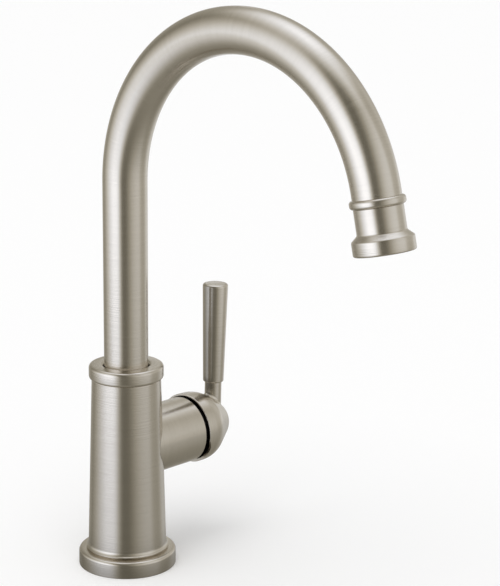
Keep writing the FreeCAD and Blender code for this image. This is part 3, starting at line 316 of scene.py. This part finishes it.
def rubber_sheet():
    """Black rubber: slow noise is the bloom in its colour and gloss, and fine noise its grain."""
    material, shade = blank("black_rubber")
    place = shade.place()
    grain = shade.noise(place, rubber_grain, detail=2)
    bloom = shade.noise(place, bloom_scale, detail=4)
    tint = shade.blend(bloom, rubber_colour, toned(rubber_colour, bloom_tone))
    bump = shade.node("Bump", {}, {
        "Height": grain, "Strength": rubber_bump, "Distance": rubber_depth * mm})
    rubber = shade.node("BsdfPrincipled", {}, {
        "Base Color": tint, "Roughness": rubber_roughness + bloom_gloss * (bloom - 0.5), "Normal": bump})
    shade.node("OutputMaterial", {}, {"Surface": rubber})
    return material


black_rubber = rubber_sheet()
deck_seal = turned("deck_seal", rounded([
    (seal_inner, 0, seal_edge), (seal_outer, 0, seal_edge),
    (seal_outer, seal_depth, seal_edge), (seal_inner, seal_depth, seal_edge)]))
assemble(deck_seal, black_rubber, "base", "base_gasket")


# Shank: a brass tube that is threaded all the way down and holds the faucet on the deck.
# Its head sits in the column, and the supply hoses pass through its bore.

shank_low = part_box("mounting_shank")[0].z / mm
shank_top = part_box("mounting_shank")[1].z / mm
shank_radius = 16.5
shank_bore = 13.8
shank_bore_edge = 0.3
shank_lead = 1
shank_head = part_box("mounting_shank")[1].x / mm
shank_head_height = 10.3
shank_head_foot = shank_top - shank_head_height
shank_head_root = 0.2
relief_radius = 15.5
relief_low = -33.0
relief_high = -31.0
relief_corner = 0.4
thread_pitch = 2.0
thread_depth = 0.95
thread_end = 2
thread_flank = 1.25
thread_crest = 0.12
thread_corner = 0.1
thread_room = 0.01
thread_step = 0.25
brass_colour = (0.72, 0.50, 0.20)
brass_roughness = 0.3
brass_lines = 1300


def divided(outline, step):
    """The same closed outline with more points, so that no side is longer than a step."""
    loop = np.concatenate([outline, outline[:1]])
    reached = np.concatenate([[0], np.cumsum(np.linalg.norm(np.diff(loop, axis=0), axis=1))])
    stops = np.union1d(reached, np.arange(0, reached[-1], step))[:-1]
    return np.stack([np.interp(stops, reached, loop[:, 0]), np.interp(stops, reached, loop[:, 1])], axis=1)


def shank_thread(radius, height, turn):
    """Screw thread: the radius falls by a triangle wave of height / pitch - turn, with its crest cut flat.

    The wave fades within one pitch at the shank's lead and at the thread's upper end.
    """
    wave = np.abs((height / thread_pitch - turn / (2 * np.pi)) % 1 * 2 - 1)
    fade = np.clip((height - shank_low - shank_lead) / thread_pitch, 0, 1)
    fade = fade * np.clip((thread_end - height) / thread_pitch, 0, 1)
    outside = radius > shank_radius - thread_room
    cut = thread_depth * np.clip(thread_flank * wave - thread_crest, 0, 1)
    return radius - outside * fade * cut, height


brass_about_riser = brushed("brass_about_riser", about_riser, brass_colour, brass_roughness, brass_lines)
shank_outline = rounded([
    (shank_bore, shank_low, shank_bore_edge), (shank_radius - shank_lead, shank_low, thread_corner),
    (shank_radius, shank_low + shank_lead, thread_corner), (shank_radius, relief_low, thread_corner),
    (relief_radius, relief_low, relief_corner), (relief_radius, relief_high, relief_corner),
    (shank_radius, relief_high, thread_corner), (shank_radius, shank_head_foot, shank_head_root),
    (shank_head, shank_head_foot, broken_edge), (shank_head, shank_top, broken_edge),
    (shank_bore, shank_top, broken_edge)], steps=4)
shank = turned("threaded_shank", divided(shank_outline, thread_step), sides=96, carve=shank_thread)
assemble(shank, brass_about_riser, "base", "mounting_shank")


# Clamp under the deck: a rubber washer, a steel washer that is punched from sheet, and a brass nut.
# The nut is a hexagon whose corners are turned off at 30 degrees on both faces.

clamp_bore = 16.6
cushion_low, cushion_high = (corner.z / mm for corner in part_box("mounting_gasket"))
cushion_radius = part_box("mounting_gasket")[1].x / mm
cushion_edge = 0.5
clamp_seal = turned("clamp_seal", rounded([
    (clamp_bore, cushion_low, cushion_edge), (cushion_radius, cushion_low, cushion_edge),
    (cushion_radius, cushion_high, cushion_edge), (clamp_bore, cushion_high, cushion_edge)]))
assemble(clamp_seal, black_rubber, "base", "mounting_gasket")

steel_colour = (0.56, 0.56, 0.55)
steel_lines = 1800
washer_roughness = 0.32
washer_low, washer_high = (corner.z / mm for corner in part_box("mounting_washer"))
washer_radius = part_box("mounting_washer")[1].x / mm
punched_roll = 0.7
sheared_bore = 0.2
sheared_rim = 0.15
clamp_washer = turned("clamp_washer", rounded([
    (clamp_bore, washer_low, sheared_bore), (washer_radius, washer_low, sheared_rim),
    (washer_radius, washer_high, punched_roll), (clamp_bore, washer_high, punched_roll)]))
steel_about_riser = brushed("steel_about_riser", about_riser, steel_colour, washer_roughness, steel_lines)
assemble(clamp_washer, steel_about_riser, "base", "mounting_washer")

nut_low, nut_high = (corner.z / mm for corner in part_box("mounting_nut"))
nut_apothem = 23.0
half_flat = math.radians(30)
nut_corner = nut_apothem / math.cos(half_flat)
nut_bevel = 0.6
nut_face = nut_apothem - nut_bevel
bevel_slope = math.radians(30)
nut_slope = (nut_corner - nut_face) * math.tan(bevel_slope)
nut_bore_edge = 0.5
nut_step = 0.4


def hexagon(radius, height, turn):
    """Six flats: the radius is at most the apothem over the cosine of the angle from the nearest flat."""
    flat = nut_apothem / np.cos(turn % (2 * half_flat) - half_flat)
    return np.minimum(radius, flat), height


nut_outline = rounded([
    (clamp_bore, nut_low, nut_bore_edge), (nut_face, nut_low, 0), (nut_corner, nut_low + nut_slope, 0),
    (nut_corner, nut_high - nut_slope, 0), (nut_face, nut_high, 0), (clamp_bore, nut_high, nut_bore_edge)],
    steps=4)
clamp_nut = turned("clamp_nut", divided(nut_outline, nut_step), carve=hexagon)
assemble(clamp_nut, brass_about_riser, "base", "mounting_nut")


# Column: a brass tube with a slight taper, turned to a lip above the foot and brushed round.
# The valve's side sleeve is brazed into a hole in its side.

def dress(node, material):
    """Gives a CAD node, whose shape is right, a finish with its own detail."""
    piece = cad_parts[node]
    piece.data.materials.clear()
    piece.data.materials.append(material)


dress("body_shell", nickel_about_riser)


# Waterway: the cast and machined brass manifold in the column, with the valve chamber screwed to its
# side. Rubber seals close the three ports between them.

valve_height = 78.0
valve_seat = (0, 0, valve_height)
screw_roughness = 0.3


def about_valve(shade):
    """Distance across the marks of turning about the valve's axis."""
    return across_turning(shade, valve_seat, (1, 0, 0))


brass_about_valve = brushed("brass_about_valve", about_valve, brass_colour, brass_roughness, brass_lines)
steel_about_valve = brushed("steel_about_valve", about_valve, steel_colour, screw_roughness, steel_lines)
dress("waterway", brass_about_riser)
dress("valve_chamber", brass_about_valve)
dress("chamber_screws", steel_about_valve)
dress("port_seals", black_rubber)
dress("cartridge_seals", black_rubber)


# Cartridge: white moulded plastic round two lapped ceramic discs, one fixed and one that slides and turns.
# The stem tilts on a steel pin in its turning carrier.

white_colour = (0.78, 0.77, 0.73)
white_roughness = 0.42
ceramic_colour = (0.82, 0.81, 0.78)
ceramic_roughness = 0.16
cloud_scale = 70
cloud_tone = 0.9
cloud_gloss = 0.15
mould_grain = 2600
mould_bump = 0.4
mould_depth = 0.04


def moulded(name, colour, roughness):
    """Moulded plastic: slow noise clouds its colour and gloss, and fine noise is the mould's grain."""
    material, shade = blank(name)
    place = shade.place()
    cloud = shade.noise(place, cloud_scale, detail=4)
    grain = shade.noise(place, mould_grain, detail=1)
    tint = shade.blend(cloud, toned(colour, cloud_tone), colour)
    bump = shade.node("Bump", {}, {"Height": grain, "Strength": mould_bump, "Distance": mould_depth * mm})
    plastic = shade.node("BsdfPrincipled", {}, {
        "Base Color": tint, "Roughness": roughness + cloud_gloss * (cloud - 0.5), "Normal": bump})
    shade.node("OutputMaterial", {}, {"Surface": plastic})
    return material


white_plastic = moulded("white_plastic", white_colour, white_roughness)
lapped_ceramic = moulded("lapped_ceramic", ceramic_colour, ceramic_roughness)
for node in ("cartridge_base", "cartridge_case", "stem_carrier", "disc_carrier"):
    dress(node, white_plastic)
for node in ("fixed_disc", "moving_disc"):
    dress(node, lapped_ceramic)
for node in ("fulcrum_pin", "valve_stem"):
    dress(node, steel_about_valve)


# Valve trim: the brass nut that holds the cartridge, the side sleeve, and the ball cap under the handle.
# The sleeve is thin brass, brushed round the valve's axis. The cap is made black plastic to darken the
# joint under the handle: painted shade.

black_plastic_and_gap_shade = (0.03, 0.03, 0.032)
cap_roughness = 0.4
nickel_about_valve = satin_nickel("satin_nickel_about_valve", about_valve)
dark_plastic = moulded("dark_plastic", black_plastic_and_gap_shade, cap_roughness)
dress("retaining_nut", brass_about_valve)
dress("valve_sleeve", nickel_about_valve)
# Black cap: painted shade, so the gap between the sleeve and the hub reads dark.
dress("bonnet_cap", dark_plastic)


# Handle hub: a dome of cast brass with the lever's neck growing out of it, hollow over the ball cap.
# The dome is brushed round the valve's axis and the neck round its own. Its hollow is painted nearly black
# as shade, and dull.

lever_foot = 77.65
lever_seat = (lever_foot, 0, valve_height)
lever_lean = math.radians(1.5)
lever_axis = (math.sin(lever_lean), 0, math.cos(lever_lean))
neck_radius = 5.55
neck_room = 0.4
neck_root = 8.0
tilt_centre = (47.8, 0, valve_height)
hollow_radius = 22.4
hollow_room = 0.2


def about_hub(shade):
    """Distance across the strokes: about the valve's axis on the dome, about the lever's on the neck."""
    height, radius = about_axis(shade, lever_seat, lever_axis)
    slim = shade.maths("LESS_THAN", radius, (neck_radius + neck_room) * mm)
    neck = slim * shade.maths("GREATER_THAN", height, neck_root * mm)
    return neck * (height + radius_share * radius) + (1 - neck) * about_valve(shade)


def in_hollow(shade):
    """1 on the wall of the hub's hollow, a sphere about the centre of the handle's tilt."""
    away = shade.vectors("DISTANCE", shade.place(), [at * mm for at in tilt_centre], output="Value")
    return shade.maths("LESS_THAN", away, (hollow_radius + hollow_room) * mm)


# The hollow's wall gets painted shade: its colour goes nearly black, as in the recess where light hardly
# reaches.
dress("handle_hub", satin_nickel("satin_nickel_on_hub", about_hub, painted_shade=in_hollow))
dress("handle_set_screw", steel_about_valve)


# Lever grip: a solid bar that widens towards its top, screwed onto the stud of the hub's neck.
# Its top edge is rolled over a little more than its foot.

grip_length = 66.7
grip_start = 27.0
grip_foot = 6.8
grip_foot_roll = 1.2
grip_top = 8.4
grip_top_roll = 1.8
stud_hole = 3.9
stud_room = 13.4
hole_corner = 0.2
hole_edge = 0.3


def about_lever(shade):
    """Distance across the marks of turning about the lever's axis."""
    return across_turning(shade, lever_seat, lever_axis)


nickel_about_lever = satin_nickel("satin_nickel_about_lever", about_lever)
grip_seat = np.array(lever_seat) + grip_start * np.array(lever_axis)
grip = turned("lever_grip", rounded([
    (0, stud_room, 0), (stud_hole, stud_room, hole_corner), (stud_hole, 0, hole_edge),
    (grip_foot, 0, grip_foot_roll), (grip_top, grip_length, grip_top_roll), (0, grip_length, 0)], steps=9),
    grip_seat, lever_axis, sides=96)
assemble(grip, nickel_about_lever, "handle", "handle_grip")


# Spout foot: the brass spigot soldered into the tube, with O-rings and two plastic slip rings.
# It turns in the head of the waterway.

dress("spout_base", brass_about_riser)
dress("spout_orings", black_rubber)
dress("lower_slip_ring", white_plastic)
dress("upper_slip_ring", white_plastic)


# Collar: a turned ring that screws into the neck of the column and keeps the spout down.
# The tube turns in its bore, which is opened by a bevel at the top.

collar_low, collar_top = (corner.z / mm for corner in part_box("spout_collar"))
collar_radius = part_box("spout_collar")[1].x / mm
collar_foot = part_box("body_shell")[1].z / mm
collar_foot_roll = 2.0
collar_top_roll = 2.2
collar_skirt = 17.55
collar_skirt_edge = 0.5
collar_bore = 14.6
collar_bore_edge = 0.3
collar_mouth = 1.2
collar = turned("collar", rounded([
    (collar_bore, collar_low, collar_bore_edge), (collar_skirt, collar_low, collar_skirt_edge),
    (collar_skirt, collar_foot, 0), (collar_radius, collar_foot, collar_foot_roll),
    (collar_radius, collar_top, collar_top_roll),
    (collar_bore + collar_mouth, collar_top, collar_bore_edge),
    (collar_bore, collar_top - collar_mouth, collar_bore_edge)]))
assemble(collar, nickel_about_riser, "base", "spout_collar")


# Spout tube: drawn brass tube bent round a former, brushed along circles all the way up and over.
# It runs from the spout's foot in the column to the outlet, and turns with it.

tube_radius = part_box("spout_tube")[1].x / mm
tube_wall = 1.2
tube_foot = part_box("spout_tube")[0].z / mm
bend_radius = 102.3
bend_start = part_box("spout_tube")[1].z / mm - bend_radius - tube_radius
bend_turn = math.radians(167.2)
tube_tail = 2.3
tube_length = bend_start - tube_foot + bend_radius * bend_turn + tube_tail


def bent_tube(name, radius, wall, sides=128, step=1.6):
    """Tube along a path that goes straight up, turns over in one arc and ends straight.

    At a distance s the path has turned by (s - straight) / bend radius, kept between 0 and the full turn.
    The outer skin is a circle square to the path at each s, and the inner skin comes back along it,
    smaller by the wall.
    """
    along = np.linspace(0, tube_length, int(tube_length / step))
    straight = bend_start - tube_foot
    turned_by = np.clip((along - straight) / bend_radius, 0, bend_turn)
    tail = np.maximum(along - straight - bend_radius * bend_turn, 0)
    ahead = np.stack([0 * along, -np.sin(turned_by), np.cos(turned_by)], axis=1)
    centre = np.stack([0 * along, bend_radius * (np.cos(turned_by) - 1),
                       tube_foot + np.minimum(along, straight) + bend_radius * np.sin(turned_by)], axis=1)
    centre += tail[:, None] * ahead
    sideways = np.array([1.0, 0, 0])
    inward = np.cross(ahead, sideways)
    angle = np.arange(sides) * 2 * np.pi / sides
    spoke = np.cos(angle)[:, None] * sideways + np.sin(angle)[:, None] * inward[:, None]
    outer = centre[:, None] + radius * spoke
    inner = centre[:, None] + (radius - wall) * spoke
    piece = skin(name, np.concatenate([outer, inner[::-1]]))
    distance = np.repeat(np.concatenate([along, along[::-1]]), sides) * mm
    piece.data.attributes.new("along", "FLOAT", "POINT").data.foreach_set("value", distance)
    return piece


def along_tube(shade):
    """Distance along the tube, from its own attribute."""
    return shade.node("Attribute", {"attribute_name": "along"}, output="Fac")


nickel_along_tube = satin_nickel("satin_nickel_along_tube", along_tube)
tube = bent_tube("spout_pipe", tube_radius, tube_wall)
assemble(tube, nickel_along_tube, "spout", "spout_tube")


# Outlet: a bead ring at the tube's end, and the nozzle that is soldered into it.
# The nozzle is a turned barrel that flares to a ring round the aerator.

flow = np.array((0, -math.sin(bend_turn), math.cos(bend_turn)))
bend_end = np.array((0, math.cos(bend_turn) - 1, math.sin(bend_turn))) * bend_radius + (0, 0, bend_start)
tube_end = bend_end + tube_tail * flow


def about_outlet(shade):
    """Distance across the marks of turning about the outlet's axis."""
    return across_turning(shade, tube_end, flow)


nickel_about_outlet = satin_nickel("satin_nickel_about_outlet", about_outlet)
bead_radius = 15.9
bead_bore = 12.8
bead_length = 5.2
bead_roll = 2.0
bead = turned("outlet_bead", rounded([
    (bead_bore, 0, 0), (bead_radius, 0, bead_roll),
    (bead_radius, bead_length, bead_roll), (bead_bore, bead_length, 0)], steps=12), tube_end, flow)
assemble(bead, nickel_about_outlet, "spout", "spout_bead")

insert_start = -3.5
insert_radius = 12.75
insert_edge = 0.3
barrel_radius = 14.1
barrel_root = 0.2
barrel_end = 19.5
flare_cove = 2.0
ring_radius = 17.8
ring_start = 22.8
ring_start_roll = 1.4
ring_end = 31.1
ring_end_roll = 1.2
nozzle_bore = 10.0
nozzle_thread = 12.5
thread_mouth = 0.5
aerator_ledge = 16.9
ledge_edge = 0.2
ledge_corner = 0.1
nozzle = turned("nozzle_barrel", rounded([
    (nozzle_bore, aerator_ledge, ledge_edge), (nozzle_bore, insert_start, insert_edge),
    (insert_radius, insert_start, insert_edge), (insert_radius, bead_length, 0),
    (barrel_radius, bead_length, barrel_root), (barrel_radius, barrel_end, flare_cove),
    (ring_radius, ring_start, ring_start_roll), (ring_radius, ring_end, ring_end_roll),
    (nozzle_thread, ring_end, thread_mouth), (nozzle_thread, aerator_ledge, ledge_corner)]),
    tube_end, flow)
assemble(nozzle, nickel_about_outlet, "spout", "nozzle")


# Aerator: a black plastic cartridge screwed into the nozzle over a rubber ring.
# A white flow regulator lies inside it, and a screen closes its mouth.

dress("aerator_gasket", black_rubber)
dress("aerator_housing", dark_plastic)
dress("flow_regulator", white_plastic)
dress("aerator_screen", dark_plastic)


# Studio: a bright key panel at the faucet's left and a fill panel at its right, with a dark gap between
# them, a pale backdrop behind it and a bright ceiling. Metal mirrors them, and all else sees an even soft
# light. Panels end between two limits: a bearing or climb in degrees, or a share of the direction.

camera_place = Vector((-0.82137, -0.88798, 0.49284))
to_camera = camera_place.xy.normalized()
even_light = 0.65
room_light = 0.175
room_colour = (0.985, 0.93, 0.77)
panel_colour = (0.96, 1, 1.1)
room_to_panel = (0.15, 1.3)
across_gap = (0.19, 0.8, 0.086)
upper_half = (-2, 8)
key_light = 1.5
key_edge = (-0.447, -0.008)
key_bearing = (-133, -65)
key_foot = (-77, -18)
key_skirt = (-16.5, -5.3)
key_skirt_light = 0.72
key_top = (-21, 89)
fill_light = 0.56
fill_edge = (0.137, 0.835)
fill_foot = (-85, -16)
fill_far_side = (73, 89)
fill_far_loss = 0.41
fill_top_gain = 0.14
backdrop_light = 0.54
backdrop_left = (-84, 26)
backdrop_right = (40, 75)
backdrop_foot = (-54, -16)
backdrop_top_loss = 0.46
ceiling_light = 1.35
to_ceiling = (-0.19, 0, 0.98)
ceiling_edge = (0.633, 1.192)
ground_light = 0.266
ground_top = (-95, -3)


def rise(value, start, stop, form="SMOOTHSTEP"):
    """Rise of a value from 0 at one limit to 1 at the other, smooth or straight."""
    return value.node("MapRange", {"interpolation_type": form}, {
        "Value": value, "From Min": start, "From Max": stop})


def swing(angle, start, stop, form="SMOOTHSTEP"):
    """The same for an angle, with limits in degrees."""
    return rise(angle, math.radians(start), math.radians(stop), form)


def studio(gaze):
    """Light that metal mirrors in a direction: its colour and its strength.

    The direction's bearing from the camera and its climb bound the panels. Its share along a vector that
    points across the gap parts the key panel from the fill panel. The strengths of all panels add up.
    """
    def facing(ahead, aside, above):
        """Share of the direction along a vector given towards the camera, to the right there, and up."""
        level = ahead * to_camera + aside * Vector((-to_camera.y, to_camera.x))
        return gaze.vectors("DOT_PRODUCT", gaze, (level.x, level.y, above), output="Value")

    bearing = gaze.maths("ARCTAN2", facing(0, 1, 0), facing(1, 0, 0))
    behind = gaze.maths("ARCTAN2", facing(0, 1, 0), facing(-1, 0, 0))
    climb = gaze.maths("ARCSINE", facing(0, 0, 1))
    from_gap = facing(*across_gap)
    above = swing(climb, *upper_half)
    skirt = key_skirt_light + (1 - key_skirt_light) * swing(climb, *key_skirt)
    key = (1 - rise(from_gap, *key_edge)) * swing(bearing, *key_bearing, "LINEAR")
    key = key * swing(climb, *key_foot) * skirt * (1 - swing(climb, *key_top))
    fill = rise(from_gap, *fill_edge) * swing(climb, *fill_foot)
    fill = fill * (1 - fill_far_loss * swing(bearing, *fill_far_side) + fill_top_gain * above)
    backdrop = swing(behind, *backdrop_left) * (1 - swing(behind, *backdrop_right))
    backdrop = backdrop * swing(climb, *backdrop_foot) * (1 - backdrop_top_loss * above)
    ceiling = rise(facing(*to_ceiling), *ceiling_edge)
    ground = 1 - swing(climb, *ground_top)
    strength = room_light + key_light * key + fill_light * fill + backdrop_light * backdrop
    strength = strength + ceiling_light * ceiling + ground_light * ground
    return gaze.blend(rise(strength, *room_to_panel), room_colour, panel_colour), strength


world = bpy.data.worlds.new("studio")
world.use_nodes = True
world.node_tree.nodes.clear()
world.cycles.sampling_method = "NONE"
bpy.context.scene.world = world
shade = Shade(world.node_tree)
seen = shade.node("LightPath", output="Is Camera Ray")
mirror = shade.node("LightPath", output="Is Glossy Ray")
colour, strength = studio(shade.node("TexCoord", output="Generated"))
plain = shade.node("Background", {}, {"Color": (1, 1, 1, 1), "Strength": seen + (1 - seen) * even_light})
panels = shade.node("Background", {}, {"Color": colour, "Strength": strength})
surroundings = shade.node("MixShader", {}, {0: mirror, 1: plain, 2: panels})
shade.node("OutputWorld", {}, {"Surface": surroundings})


# Floor: a plain pale sweep under the faucet, sizes in metres. Metal sees the studio through it, so that
# the panels seem to stand on it, and sees it darker towards the faucet's foot.

floor_reach = 12.0
floor_colour = (0.97, 0.97, 0.97)
floor_roughness = 0.9
foot_shadow = 0.33
foot_shadow_edge = (0.02, 0.1)
wide_shadow = 0.34
wide_shadow_edge = (0, 1.075)
shadow_light = 0.1


def flat_sheet(name, corners, material):
    """Object of one flat face over four corners in metres."""
    mesh = bpy.data.meshes.new(name)
    mesh.from_pydata(corners, [], [(0, 1, 2, 3)])
    mesh.materials.append(material)
    sheet = bpy.data.objects.new(name, mesh)
    bpy.context.scene.collection.objects.link(sheet)
    return sheet


floor_material, shade = blank("pale_floor")
reach = shade.vectors("LENGTH", shade.place(), output="Value")
shadow = foot_shadow * (1 - rise(reach, *foot_shadow_edge))
shadow = shadow + wide_shadow * (1 - rise(reach, *wide_shadow_edge))
pale = shade.node("BsdfPrincipled", {}, {"Base Color": (*floor_colour, 1), "Roughness": floor_roughness})
clear = shade.node("BsdfTransparent")
dark = shade.node("Emission", {}, {"Color": (*room_colour, 1), "Strength": shadow_light})
mirrored = shade.node("MixShader", {}, {0: shadow, 1: clear, 2: dark})
mirror = shade.node("LightPath", output="Is Glossy Ray")
sweep = shade.node("MixShader", {}, {0: mirror, 1: pale, 2: mirrored})
shade.node("OutputMaterial", {}, {"Surface": sweep})
floor_material.cycles.emission_sampling = "NONE"
floor = flat_sheet("floor", [
    (-floor_reach, -floor_reach, 0), (floor_reach, -floor_reach, 0),
    (floor_reach, floor_reach, 0), (-floor_reach, floor_reach, 0)], floor_material)


# Flag: a grey card that stands in the studio beside the lever, sizes in metres. It keeps half of the key
# panel off the grip and more of it off the neck. Only metal sees it, and only from the lever's side.

flag_across = 0.067
flag_front = -0.009
flag_rear = 0.02
flag_low = 0.096
flag_high = 0.182
flag_cover = 0.9
flag_thinning = 0.35
flag_thins = (0.103, 0.108)
flag_light = 0.1
flag_material, shade = blank("grey_card")
dim = shade.node("Emission", {}, {"Color": (*room_colour, 1), "Strength": flag_light})
from_back = shade.node("NewGeometry", output="Backfacing")
flag_height = shade.node("SeparateXYZ", {}, {0: shade.place()}, output="Z")
cover = (flag_cover - flag_thinning * rise(flag_height, *flag_thins)) * (1 - from_back)
card = shade.node("MixShader", {}, {0: cover, 1: shade.node("BsdfTransparent"), 2: dim})
shade.node("OutputMaterial", {}, {"Surface": card})
flag_material.cycles.emission_sampling = "NONE"
flag = flat_sheet("flag", [
    (flag_across, flag_front, flag_low), (flag_across, flag_rear, flag_low),
    (flag_across, flag_rear, flag_high), (flag_across, flag_front, flag_high)], flag_material)
flag.visible_camera = False
flag.visible_diffuse = False
flag.visible_transmission = False
flag.visible_shadow = False


# Lamp: one wide soft lamp overhead, a little to the left, as a large soft box hangs over a table.
# It gives the faucet its shadow on the floor, and metal doesn't mirror it.

lamp_beam = Vector((0.35, 0.15, -1))
lamp_width = math.radians(50)
lamp_strength = 1.3
lamp_data = bpy.data.lights.new("wide_lamp", "SUN")
lamp_data.angle = lamp_width
lamp_data.energy = lamp_strength
lamp = bpy.data.objects.new("wide_lamp", lamp_data)
lamp.rotation_euler = lamp_beam.to_track_quat("-Z", "Y").to_euler()
lamp.visible_glossy = False
bpy.context.scene.collection.objects.link(lamp)


# Camera: a long lens on a stand at the user's left, a little higher than the spout and turned down to it.
# Its place, lens and angles, in degrees, are solved from the faucet's outlines in the photograph.

camera_sensor = 36
camera_lens = 122.25
camera_shift = -0.0006
camera_dip = 14.52
camera_heading = -46.47
camera_roll = 0.52
camera_data = bpy.data.cameras.new("camera")
camera_data.sensor_width = camera_sensor
camera_data.lens = camera_lens
camera_data.shift_x = camera_shift
camera = bpy.data.objects.new("camera", camera_data)
camera_aim = Euler((math.radians(90 - camera_dip), 0, math.radians(camera_heading))).to_matrix().to_4x4()
camera_lean = Matrix.Rotation(math.radians(camera_roll), 4, "Z")
camera.matrix_world = Matrix.Translation(camera_place) @ camera_aim @ camera_lean
bpy.context.scene.collection.objects.link(camera)
bpy.context.scene.camera = camera
bpy.context.scene.view_settings.view_transform = "Standard"
